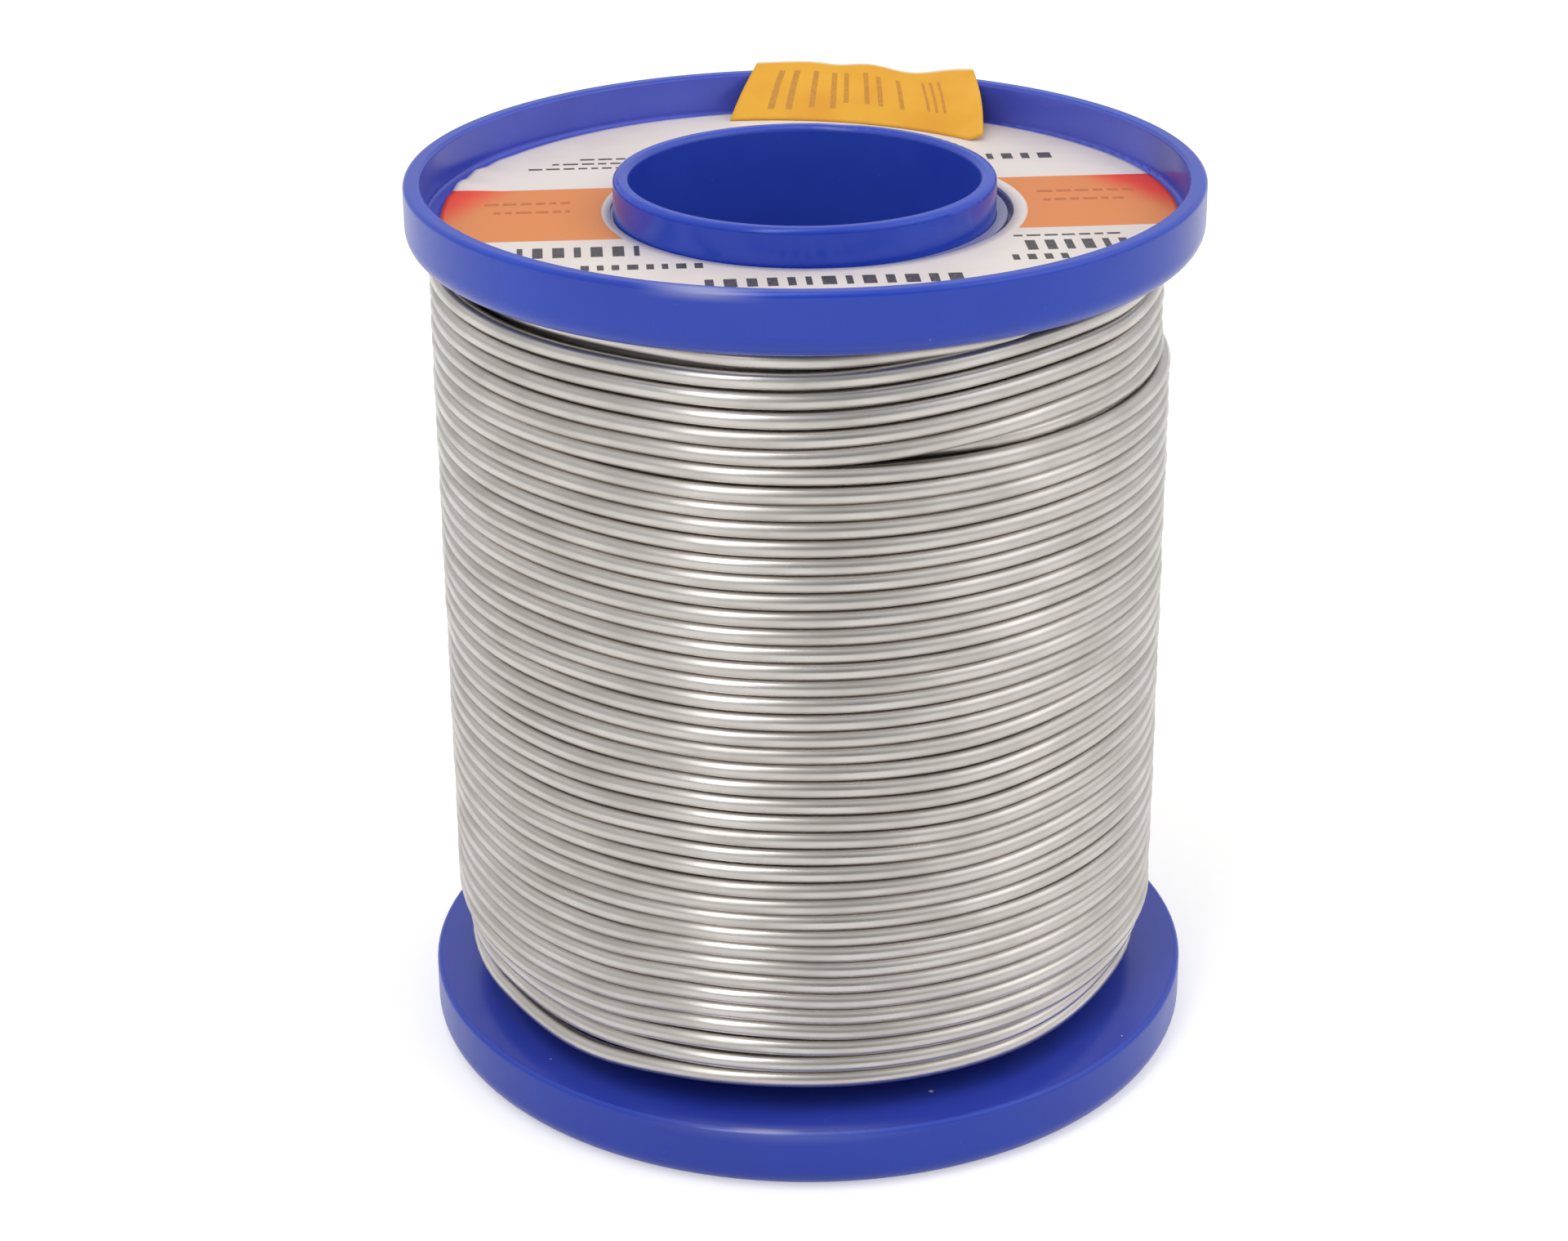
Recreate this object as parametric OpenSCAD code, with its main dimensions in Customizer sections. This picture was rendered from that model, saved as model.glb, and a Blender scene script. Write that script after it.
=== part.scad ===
// Solder wire spool: one length of soft solder wire on a moulded plastic reel.
// Two rimmed flanges seat on steps of one barrel, and the winding stops short of the lower one.
// Millimetres, +Z up. The axis is Z, and the spool stands with its lower rim at z = 0.

/* [Barrel] */
// Height of the spool, from the lower rim to the upper rim
spool_h = 80; // [60:1:110]
// Diameter of the bore that a spindle goes through
bore_d = 30; // [20:0.5:34]
// Wall of the two barrel ends, which stand through the flanges
barrel_wall = 1.4; // [1.2:0.1:2.5]
// Height of the step that each flange seats on
barrel_step = 1; // [0.6:0.1:2]
// How far the barrel's ends lie inside the rims
barrel_setback = 0.4; // [0:0.1:1]
// Rounding of the barrel's end edges
barrel_edge_r = 0.5; // [0.2:0.05:0.55]
// Radial play between the barrel and what is on it
seat_play = 0.05; // [0.02:0.01:0.15]

/* [Upper flange] */
// Diameter of the upper flange
upper_flange_d = 68.3; // [66:0.1:90]
// Thickness of the upper flange's raised rim
upper_rim_t = 1.5; // [1.2:0.1:3]
// Depth of the recess inside the upper rim
upper_recess = 3.75; // [2:0.05:6]
// Rounding of the upper flange's outer edge, on the outside
upper_edge_r = 0.45; // [0.2:0.05:0.6]
// Rounding of the upper flange's outer edge, on the wire's side
upper_shoulder_r = 1.9; // [0.5:0.1:3]

/* [Lower flange] */
// Diameter of the lower flange
lower_flange_d = 69.6; // [66:0.1:90]
// Thickness of the lower flange's rim
lower_rim_t = 2.8; // [2.5:0.1:4]
// Depth of the recess inside the lower rim
lower_recess = 3.95; // [2.5:0.05:6]
// Rounding of the lower flange's outer edge, on the outside
lower_edge_r = 2; // [0.4:0.1:2.3]
// Rounding of the lower flange's outer edge, on the wire's side
lower_shoulder_r = 0.45; // [0.2:0.05:1.5]

/* [Both flanges] */
// Thickness of the web between the barrel and the rim
web_t = 1.8; // [1.2:0.1:3]
// Width of the groove that runs round the barrel's hole, in the web's outer face
groove_w = 0.55; // [0.3:0.05:1]
// Width of the ledge between the barrel and the groove
groove_ledge = 0.9; // [0.8:0.05:1.5]
// Rounding of the rim's inner edge
rim_inner_r = 0.35; // [0.2:0.05:0.5]
// Fillet in the recess, between the web and the rim
recess_fillet_r = 0.4; // [0.15:0.05:1]

/* [Wire] */
// Diameter over the outer layer of wire
wound_d = 64; // [54:0.2:65]
// Turns of the outer layer, drawn as fewer and thicker turns than the real 43
wire_turns = 24; // [12:1:24]
// Least gap between two turns
turn_gap = 0.45; // [0.42:0.01:1]
// Gap between the wire and the upper flange
wire_end_gap = 0.3; // [0.1:0.05:1.5]
// Gap between the wire and the lower flange, which the last turns leave free
wire_foot_gap = 2.55; // [0.1:0.05:4]
// Clearance between the outer layer and the layers under it
layer_play = 0.05; // [0.02:0.01:0.3]
// Where the outer layer starts and ends round the barrel, in degrees from the right
wire_start = 100; // [0:5:355]

/* [Label] */
// Thickness of the label's paper
label_t = 0.15; // [0.1:0.05:0.4]
// Least gap between the label's edge and the fillet inside the rim
label_margin = 0.05; // [0.02:0.01:1]
// How much larger than the barrel the label's hole is, on the radius
label_hole_room = 1.05; // [0.8:0.05:2]
// How far off the axis the label is stuck, to the right
label_right = 0.4; // [0:0.05:0.5]
// How far off the axis the label is stuck, to the back
label_back = 0.5; // [0:0.05:0.6]

/* [Price sticker] */
// Width of the sticker's top edge
sticker_w = 21; // [12:0.5:26]
// Thickness of the sticker's paper
sticker_t = 0.15; // [0.1:0.05:0.3]
// Angle from the back to the middle of the sticker, to the right, in degrees
sticker_turn = 10; // [0:0.5:45]
// How much further the foot reaches at the left end, in degrees
sticker_flare_left = 6.5; // [0:0.5:10]
// How much further the foot reaches at the right end, in degrees
sticker_flare_right = 9.5; // [0:0.5:12]
// Distance of the foot from the rim at the sticker's left end
sticker_foot_left = 2.5; // [1.5:0.1:6]
// Distance of the foot from the rim at the sticker's right end
sticker_foot_right = 6.8; // [1.5:0.1:9]
// Height of the sticker's top edge above the rim
sticker_rise = 0.9; // [0.5:0.05:3]
// Clearance between the sticker and what it leans on
sticker_play = 0.05; // [0.02:0.01:0.2]

/* [Hidden] */

// Sides of the round shapes, and how far a cut runs past the face that it opens
round_sides = 96;
cut_over = 1;

// Barrel radii and ends
bore_r = bore_d / 2;
end_r = bore_r + barrel_wall;
barrel_r = end_r + barrel_step;
barrel_low = barrel_setback;
barrel_high = spool_h - barrel_setback;

// Heights of the flanges' inner faces, which the barrel's steps and the wire keep to
upper_h = web_t + upper_recess;
lower_h = web_t + lower_recess;
upper_face = spool_h - upper_h;
lower_face = lower_h;
upper_rim_inner_r = upper_flange_d / 2 - upper_rim_t;

// Outer layer: the turns and their gaps fill the winding's height
sides = 6;
turn_steps = 24;
wound_low = lower_face + wire_foot_gap;
wound_h = upper_face - wire_end_gap - wound_low;
turn_pitch = (wound_h + turn_gap) / (wire_turns + 1);
wire_d = turn_pitch - turn_gap;
wire_r = wire_d / 2;
coil_r = wound_d / 2 - wire_r;
coil_low = wound_low + wire_r;
coil_steps = wire_turns * turn_steps;
// The layers below stay inside the flats of the turns
inner_layers_r = (coil_r - wire_r) * cos(180 / turn_steps) - layer_play;

// Groove in the web's outer face
groove_in_r = end_r + seat_play + groove_ledge;
groove_depth = 0.6 * web_t;

// Label, on the upper flange's web
label_low = upper_face + web_t;
label_shift = [label_right, label_back, 0];
label_r = upper_rim_inner_r - recess_fillet_r - label_margin - norm(label_shift);
label_hole_r = end_r + label_hole_room;

// Price sticker: its sections stand side by side round the rim
sticker_sections = 12;
sticker_half = sticker_w / (upper_flange_d / 2) * 90 / PI;
foot_z = label_low + label_t + sticker_play;
lean_r = upper_rim_inner_r + rim_inner_r;
lean_z = spool_h - rim_inner_r;
lean_clear = rim_inner_r + sticker_play;

function mix(a, b, t) = a + (b - a) * t;
function unit(v) = v / norm(v);

// The wire rises clockwise, seen from above
function coil_angle(step) = wire_start - 360 * step / turn_steps;

// Centre of the wire, after so many steps round the barrel
function coil_point(step) =
    let (angle = coil_angle(step))
    [coil_r * cos(angle), coil_r * sin(angle), coil_low + turn_pitch * step / turn_steps];

// Direction of the wire there
function coil_direction(step) =
    let (angle = coil_angle(step))
    unit([2 * PI * coil_r * sin(angle), -2 * PI * coil_r * cos(angle), turn_pitch]);

// One ring of the wire's surface, round a centre that can be moved along the wire
function wire_ring(step, along) =
    let (angle = coil_angle(step),
         direction = coil_direction(step),
         outward = [cos(angle), sin(angle), 0],
         across = cross(direction, outward),
         centre = coil_point(step) + along * direction)
    [for (i = [0 : sides - 1])
        centre + wire_r * (cos(360 * i / sides) * outward + sin(360 * i / sides) * across)];

// Least distance between two places half a turn or more apart, less the wire's diameter
function least_turn_gap() =
    let (points = [for (step = [0 : coil_steps]) coil_point(step)])
    min([for (a = [0 : coil_steps - turn_steps])
        for (b = [a + turn_steps / 2 : min(a + 2 * turn_steps, coil_steps)])
            norm(points[a] - points[b])]) - wire_d;

// Section of the price sticker, from its foot on the label to its top edge over the rim
function sticker_section(t) =
    let (foot_r = upper_rim_inner_r - mix(sticker_foot_left, sticker_foot_right, t),
         to_rim = [lean_r - foot_r, lean_z - foot_z],
         slope = atan2(to_rim[1], to_rim[0]) + asin(lean_clear / norm(to_rim)),
         up = [cos(slope), sin(slope)],
         thick = sticker_t * [-sin(slope), cos(slope)],
         foot = [foot_r, foot_z],
         top = foot + up * (spool_h + sticker_rise - sticker_t - foot_z) / sin(slope),
         foot_angle = sticker_turn
             + mix(-sticker_half - sticker_flare_left, sticker_half + sticker_flare_right, t),
         top_angle = sticker_turn + mix(-sticker_half, sticker_half, t))
    [round_back(foot, foot_angle), round_back(top, top_angle),
     round_back(top + thick, top_angle), round_back(foot + thick, foot_angle)];

// A point given by radius and height, turned from the back towards the right
function round_back(point, angle) = [point[0] * sin(angle), point[0] * cos(angle), point[1]];

// Closed skin over a row of rings that have the same number of points
module skin(rings) {
    n = len(rings[0]);
    last = len(rings) - 1;
    points = [for (ring = rings) for (point = ring) point];
    polyhedron(points, concat(
        [for (k = [0 : last - 1]) for (i = [0 : n - 1])
            [k * n + i, k * n + (i + 1) % n, (k + 1) * n + (i + 1) % n]],
        [for (k = [0 : last - 1]) for (i = [0 : n - 1])
            [k * n + i, (k + 1) * n + (i + 1) % n, (k + 1) * n + i]],
        [for (i = [1 : n - 2]) [0, i + 1, i]],
        [for (i = [1 : n - 2]) [last * n, last * n + i, last * n + i + 1]]));
}

// What rounding takes off a corner that points along +X and +Y, from the arc's centre
module corner_waste(r) {
    difference() {
        square(r + cut_over);
        circle(r, $fn = round_sides);
    }
}

// What fills an inner corner that points along +X and +Y, from the arc's centre
module corner_fillet(r) {
    difference() {
        square(r);
        circle(r, $fn = round_sides);
    }
}

// Half section of a flange: the web's inner face is on y = 0, and the recess opens upwards
module flange_section(flange_d, rim_t, recess, edge_r, shoulder_r) {
    hole_r = end_r + seat_play;
    rim_outer = flange_d / 2;
    rim_inner = rim_outer - rim_t;
    height = web_t + recess;
    difference() {
        translate([hole_r, 0]) square([rim_outer - hole_r, height]);
        difference() {
            translate([hole_r - cut_over, web_t])
                square([rim_inner - hole_r + cut_over, recess + cut_over]);
            translate([rim_inner - recess_fillet_r, web_t + recess_fillet_r]) mirror([0, 1])
                corner_fillet(recess_fillet_r);
        }
        translate([groove_in_r, web_t - groove_depth]) square([groove_w, groove_depth + cut_over]);
        translate([rim_outer - edge_r, height - edge_r]) corner_waste(edge_r);
        translate([rim_inner + rim_inner_r, height - rim_inner_r]) mirror([1, 0])
            corner_waste(rim_inner_r);
        translate([rim_outer - shoulder_r, shoulder_r]) mirror([0, 1]) corner_waste(shoulder_r);
    }
}

// Half section of one end of the barrel, cut at a height of 0, with its end face upwards
module barrel_end_section(length) {
    difference() {
        translate([bore_r, 0]) square([barrel_wall, length]);
        translate([end_r - barrel_edge_r, length - barrel_edge_r]) corner_waste(barrel_edge_r);
        translate([bore_r + barrel_edge_r, length - barrel_edge_r]) mirror([1, 0])
            corner_waste(barrel_edge_r);
    }
}

module barrel() {
    middle = spool_h / 2;
    color("#2b3ba6") rotate_extrude($fn = round_sides) {
        translate([0, middle]) barrel_end_section(barrel_high - middle);
        translate([0, middle]) mirror([0, 1]) barrel_end_section(middle - barrel_low);
        translate([bore_r, lower_face]) square([barrel_r - bore_r, upper_face - lower_face]);
    }
}

module upper_flange() {
    color("#3146b4") translate([0, 0, upper_face]) rotate_extrude($fn = round_sides)
        flange_section(upper_flange_d, upper_rim_t, upper_recess, upper_edge_r, upper_shoulder_r);
}

module lower_flange() {
    color("#3146b4") translate([0, 0, lower_face]) mirror([0, 0, 1])
        rotate_extrude($fn = round_sides)
            flange_section(lower_flange_d, lower_rim_t, lower_recess, lower_edge_r, lower_shoulder_r);
}

// The layers that don't show, as one plain ring
module wire_inner_layers() {
    color("#a9a49f") translate([0, 0, wound_low]) difference() {
        cylinder(h = wound_h, r = inner_layers_r, $fn = round_sides);
        translate([0, 0, -cut_over])
            cylinder(h = wound_h + 2 * cut_over, r = barrel_r + seat_play, $fn = round_sides);
    }
}

// The layer that shows: one unbroken wire, with a straight end of one diameter at each end
module wire_outer_layer() {
    color("#c8c3be") skin(concat(
        [wire_ring(0, -wire_d)],
        [for (step = [0 : coil_steps]) wire_ring(step, 0)],
        [wire_ring(coil_steps, wire_d)]));
}

module label() {
    color("#dcd6d3") translate([0, 0, label_low]) translate(label_shift) difference() {
        cylinder(h = label_t, r = label_r, $fn = round_sides);
        translate([0, 0, -cut_over])
            cylinder(h = label_t + 2 * cut_over, r = label_hole_r, $fn = round_sides);
    }
}

module price_sticker() {
    color("#fab432") skin([for (k = [0 : sticker_sections]) sticker_section(k / sticker_sections)]);
}

barrel();
upper_flange();
lower_flange();
wire_inner_layers();
wire_outer_layer();
label();
price_sticker();
echo(least_gap_between_turns = least_turn_gap());
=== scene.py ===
"""Dresses the solder wire spool: its plastic reel, the wound wire, the label and the sticker.

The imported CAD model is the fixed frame. The reel's three mouldings keep their CAD shapes and
get their plastic. The wire, the label and the price sticker are built here in full.
"""

import logging
import math
from collections.abc import Mapping, Sequence
from dataclasses import dataclass, field
from enum import Enum
from typing import Any

import bpy
import numpy as np
from mathutils import Matrix, Vector

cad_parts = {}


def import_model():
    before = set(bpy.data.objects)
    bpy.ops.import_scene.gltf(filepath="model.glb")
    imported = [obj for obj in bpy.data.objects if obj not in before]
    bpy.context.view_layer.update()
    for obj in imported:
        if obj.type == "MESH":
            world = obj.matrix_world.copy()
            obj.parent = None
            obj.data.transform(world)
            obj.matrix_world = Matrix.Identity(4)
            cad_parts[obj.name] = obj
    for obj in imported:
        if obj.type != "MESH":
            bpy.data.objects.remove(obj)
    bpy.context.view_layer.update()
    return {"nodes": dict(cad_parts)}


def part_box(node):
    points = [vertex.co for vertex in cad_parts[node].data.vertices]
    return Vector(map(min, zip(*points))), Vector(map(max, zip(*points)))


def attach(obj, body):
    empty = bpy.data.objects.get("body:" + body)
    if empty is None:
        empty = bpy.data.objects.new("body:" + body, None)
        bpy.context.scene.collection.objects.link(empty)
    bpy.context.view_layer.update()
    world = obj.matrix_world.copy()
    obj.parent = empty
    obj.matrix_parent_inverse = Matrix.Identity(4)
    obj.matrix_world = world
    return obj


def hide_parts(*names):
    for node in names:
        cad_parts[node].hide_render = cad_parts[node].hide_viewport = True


LOG = logging.getLogger("solder_wire_spool")
BODY = "root"

# One millimetre in Blender's metres
MM = 0.001
# Size of the image that the camera's numbers are for, in pixels
IMAGE_WIDTH = 1920
IMAGE_HEIGHT = 1519
SENSOR_WIDTH_MM = 36.0

# The part of a noise's range from 0 to 1 that nearly all of its values lie in
NOISE_LOW = 0.3
NOISE_HIGH = 0.7
# How far the label's print is turned on it, anticlockwise, in degrees
PRINT_TURN = 4.4
# The winding's inner radius and the upper rim's thickness in the CAD model, whose boxes
# don't give them, in millimetres
WINDING_INNER = 17.5
RIM_THICK = 1.5
# Height of the sticker's foot over the label, in millimetres
STICKER_GAP = 0.05


# ---------------------------------------------------------------- small helpers


def linear(colour: str) -> tuple[float, float, float, float]:
    """Turns an sRGB hex colour into linear values.

    Args:
        colour: The colour as "#rrggbb".

    Returns:
        Red, green, blue and an alpha of 1.
    """
    parts = [int(colour[i : i + 2], 16) / 255 for i in (1, 3, 5)]
    red, green, blue = (
        p / 12.92 if p <= 0.04045 else ((p + 0.055) / 1.055) ** 2.4 for p in parts
    )
    return (red, green, blue, 1.0)


def add_node(
    tree: bpy.types.NodeTree,
    kind: str,
    inputs: Mapping[str | int, Any] | None = None,
    stops: Sequence[tuple[float, str]] = (),
    **settings: Any,
) -> bpy.types.Node:
    """Adds a node, sets its properties, and fills or links its inputs.

    Args:
        tree: The node tree of a material or of the world.
        kind: Blender's type name of the node, without "ShaderNode".
        inputs: For an input's name or number, a value or the output to link to it.
        stops: Positions and colours of a colour ramp.
        settings: The node's own properties.

    Returns:
        The new node.
    """
    node = tree.nodes.new("ShaderNode" + kind)
    for name, value in settings.items():
        setattr(node, name, value)
    for key, value in (inputs or {}).items():
        if isinstance(value, bpy.types.NodeSocket):
            tree.links.new(value, node.inputs[key])
        else:
            node.inputs[key].default_value = value
    if stops:
        elements = node.color_ramp.elements
        while len(elements) < len(stops):
            elements.new(0.5)
        for element, (position, colour) in zip(elements, stops):
            element.position = position
            element.color = linear(colour)
    return node


def new_material(name: str) -> tuple[bpy.types.Material, bpy.types.NodeTree]:
    """Makes a material with an empty node tree.

    Args:
        name: The material's name.

    Returns:
        The material and its tree.
    """
    material = bpy.data.materials.new(name)
    material.use_nodes = True
    material.node_tree.nodes.clear()
    return material, material.node_tree


def two_tones(
    tree: bpy.types.NodeTree,
    place: bpy.types.NodeSocket,
    size: float,
    detail: float,
    tones: Sequence[tuple[float, str]],
) -> tuple[bpy.types.NodeSocket, bpy.types.NodeSocket]:
    """Mixes two tones of a surface by the soft patches of a noise.

    Args:
        tree: The material's node tree.
        place: The place on the surface.
        size: Size of the patches, in the unit of the place.
        detail: How finely the patches break up.
        tones: For each tone, the noise's value where it is full, and its colour.

    Returns:
        The noise's value and the mixed colour.
    """
    noise = add_node(
        tree, "TexNoise", {"Vector": place, "Scale": 1 / size, "Detail": detail}
    ).outputs["Fac"]
    return noise, add_node(tree, "ValToRGB", {"Fac": noise}, stops=tones).outputs[0]


def grain_relief(
    tree: bpy.types.NodeTree,
    place: bpy.types.NodeSocket,
    size: float,
    detail: float,
    strength: float,
    depth_mm: float,
) -> bpy.types.NodeSocket:
    """Raises a surface by a fine noise.

    Args:
        tree: The material's node tree.
        place: The place on the surface.
        size: Size of the grain, in the unit of the place.
        detail: How finely the grain breaks up.
        strength: The relief's strength.
        depth_mm: The relief's depth, in millimetres.

    Returns:
        The surface's new direction.
    """
    noise = add_node(tree, "TexNoise", {"Vector": place, "Scale": 1 / size, "Detail": detail})
    return add_node(
        tree,
        "Bump",
        {"Strength": strength, "Distance": depth_mm * MM, "Height": noise.outputs["Fac"]},
    ).outputs[0]


def direction(side: float, height: float) -> tuple[float, float, float]:
    """Gives a direction from the spool.

    Args:
        side: Degrees from the front to the right.
        height: Degrees over the horizon.

    Returns:
        The direction, of length 1.
    """
    turn, lift = math.radians(side), math.radians(height)
    return (
        math.sin(turn) * math.cos(lift),
        -math.cos(turn) * math.cos(lift),
        math.sin(lift),
    )


def smooth_step(low: float, high: float, value: np.ndarray) -> np.ndarray:
    """Rises smoothly from 0 at low to 1 at high.

    Args:
        low: Where the step starts.
        high: Where the step ends.
        value: Where the step is read.

    Returns:
        The height of the step at each value.
    """
    share = np.clip((value - low) / (high - low), 0.0, 1.0)
    return share * share * (3.0 - 2.0 * share)


def new_piece(
    name: str,
    points: np.ndarray,
    faces: Sequence[Sequence[int]],
    material: bpy.types.Material,
    uv: np.ndarray | None = None,
    flat_faces: int = 0,
) -> bpy.types.Object:
    """Makes a smooth mesh piece that rides on the spool.

    Args:
        name: The piece's name.
        points: Its points in millimetres.
        faces: Its faces, as numbers of points.
        material: Its finish.
        uv: For each point, a place on the surface in millimetres.
        flat_faces: How many of the last faces are shaded flat.

    Returns:
        The new object.
    """
    mesh = bpy.data.meshes.new(name)
    mesh.from_pydata((points * MM).tolist(), [], [list(face) for face in faces])
    smooth = np.ones(len(mesh.polygons), bool)
    if flat_faces:
        smooth[-flat_faces:] = False
    mesh.polygons.foreach_set("use_smooth", smooth)
    if uv is not None:
        corners = np.zeros(len(mesh.loops), np.int32)
        mesh.loops.foreach_get("vertex_index", corners)
        layer = mesh.uv_layers.new(name="surface")
        layer.data.foreach_set("uv", uv[corners].astype(np.float32).ravel())
    mesh.materials.append(material)
    mesh.validate()
    piece = bpy.data.objects.new(name, mesh)
    bpy.context.scene.collection.objects.link(piece)
    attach(piece, BODY)
    return piece


def sheet_faces(rows: int, columns: int) -> list[tuple[int, ...]]:
    """Gives the faces of a thin closed sheet.

    The sheet's upper points come first, row by row, and its lower points follow.

    Args:
        rows: Rows of points.
        columns: Points in a row.

    Returns:
        The faces of both sides and of the four edges.
    """
    under = rows * columns
    faces: list[tuple[int, ...]] = []
    for i in range(rows - 1):
        for j in range(columns - 1):
            a, b = i * columns + j, (i + 1) * columns + j
            faces.append((a, a + 1, b + 1, b))
            faces.append((under + a, under + b, under + b + 1, under + a + 1))
    edge = list(range(columns))
    edge += [i * columns + columns - 1 for i in range(1, rows)]
    edge += [(rows - 1) * columns + j for j in range(columns - 2, -1, -1)]
    edge += [i * columns for i in range(rows - 2, 0, -1)]
    for a, b in zip(edge, edge[1:] + edge[:1]):
        faces.append((b, a, under + a, under + b))
    return faces


# ---------------------------------------------------------------- finishes


@dataclass(frozen=True)
class Mark:
    """A small scuff or a speck of dust on the plastic, in millimetres."""

    x: float
    y: float
    z: float
    radius: float
    share: float = 1.0


@dataclass(frozen=True)
class Film:
    """A tinted ring, by radius and height in millimetres, mostly of painted light and shade."""

    inner: float
    outer: float
    low: float
    high: float
    share: float
    colour: str = "#c9cbe6"


@dataclass(frozen=True)
class EdgeHighlight:
    """A stretch of an edge with a painted highlight, in millimetres and degrees.

    Its side is counted from the front to the right.
    """

    edge_radius: float
    z: float
    reach: float
    side: float
    half: float
    share: float


@dataclass(frozen=True)
class MouldedPolystyrene:
    """Glossy blue high-impact polystyrene, injection moulded.

    It has a deep even colour, a shallow orange-peel gloss from the mould, and fine hairline
    scratches and dust from handling. Painted highlights lie on some edges, and painted light
    and shade on parts of its faces.
    """

    name: str = "injection_moulded_polystyrene"
    colour: str = "#1f4aca"
    deep_colour: str = "#1c40be"
    # Pale colour of the dust specks and of the painted edge highlights
    dust_and_highlight_colour: str = "#c9cbe6"
    roughness_low: float = 0.16
    roughness_high: float = 0.30
    # Polystyrene, whose reflection handling has dulled a little
    ior: float = 1.59
    gloss: float = 0.40
    # Size of the cloudy patches, and the noise values where each colour is full
    cloud_mm: float = 14.0
    ramp: tuple[float, float] = (0.35, 0.65)
    # Size, strength and depth of the orange peel's dimples
    peel_mm: float = 0.9
    peel_strength: float = 0.35
    peel_depth_mm: float = 0.012
    # Spacing of the scratches, their direction and how far they are drawn out
    scratch_mm: float = 0.35
    scratch_turn: tuple[float, float, float] = (0.2, 0.1, 0.5)
    scratch_stretch: tuple[float, float, float] = (0.06, 1.0, 1.0)
    # The noise's crests that become scratches, and what these do to the gloss and the relief
    crest_low: float = 0.74
    crest_high: float = 0.82
    scratch_dulling: float = 0.18
    scratch_strength: float = 0.12
    scratch_depth_mm: float = 0.01
    # Share of a mark's radius in which it is full
    mark_core: float = 0.5
    marks: tuple[Mark, ...] = (
        # On the lower flange's face
        Mark(10.6, -28.1, 5.75, 0.26),
        Mark(-22.7, -22.6, 5.75, 0.09),
        Mark(27.9, -19.0, 5.75, 0.10),
        # On the upper rim
        Mark(9.6, -32.8, 75.7, 0.20, 0.30),
        Mark(9.9, -32.7, 75.3, 0.18, 0.25),
        # Burrs on the bore's edge
        Mark(-9.7, -11.7, 79.5, 0.16),
        Mark(-8.8, -12.5, 79.5, 0.12),
        Mark(-7.5, -13.3, 79.5, 0.10),
    )
    edge_highlights: tuple[EdgeHighlight, ...] = (
        # Painted highlights on the upper rim's front edge, the lower flange's shoulder, the back
        # of the hub's mouth
        EdgeHighlight(33.85, 79.85, 0.95, -13.5, 10.0, 0.55),
        EdgeHighlight(34.45, 5.7, 0.6, -6.0, 9.0, 0.5),
        EdgeHighlight(34.4, 5.7, 1.3, -4.0, 26.0, 0.16),
        EdgeHighlight(16.1, 79.55, 0.8, 167.5, 9.5, 0.95),
    )
    # How weak and how strong the tints are by patches, as shares
    tint_thin: float = 0.75
    tint_thick: float = 1.25
    tints: tuple[Film, ...] = (
        # Painted reflection of the label and the sticker: pale violet on the recess's wall over
        # the label
        Film(31.5, 32.75, 75.9, 80.2, 0.12, "#c0b0ff"),
        # Painted shade: deeper violet on the lower flange's shaded face, and a trace of it on its
        # wall
        Film(17.0, 34.45, 5.5, 6.0, 0.36, "#3027a0"),
        Film(34.45, 35.0, -0.1, 6.0, 0.16, "#1f1a7c"),
        # Painted light: a pale tint that lifts the shade in the bore and on the lower flange
        Film(0.0, 15.2, -1.0, 81.0, 0.04),
        Film(17.0, 34.3, 5.5, 6.0, 0.03),
        # Pale grey on the ledge and groove round the hub, left bare by the label's hole
        Film(16.42, 17.95, 74.9, 76.3, 0.6, "#a8a4a8"),
        # Painted shade: dark grey on the upper flange's face over the winding, which the wires
        # reflect
        Film(17.0, 33.0, 74.3, 74.57, 0.75, "#34343c"),
    )

    def specks(
        self, tree: bpy.types.NodeTree, place: bpy.types.NodeSocket
    ) -> list[bpy.types.NodeSocket]:
        """Gives the marks, each as a soft ball.

        Args:
            tree: The material's node tree.
            place: The place on the spool.

        Returns:
            For each mark, how far it covers the surface.
        """
        spots = []
        for mark in self.marks:
            far = add_node(
                tree,
                "VectorMath",
                {0: place, 1: (mark.x * MM, mark.y * MM, mark.z * MM)},
                operation="DISTANCE",
            )
            spot = add_node(
                tree,
                "MapRange",
                {
                    "Value": far.outputs["Value"],
                    "From Min": mark.radius * MM,
                    "From Max": mark.radius * MM * self.mark_core,
                    "To Max": mark.share,
                },
            )
            spots.append(spot.outputs[0])
        return spots

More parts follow.
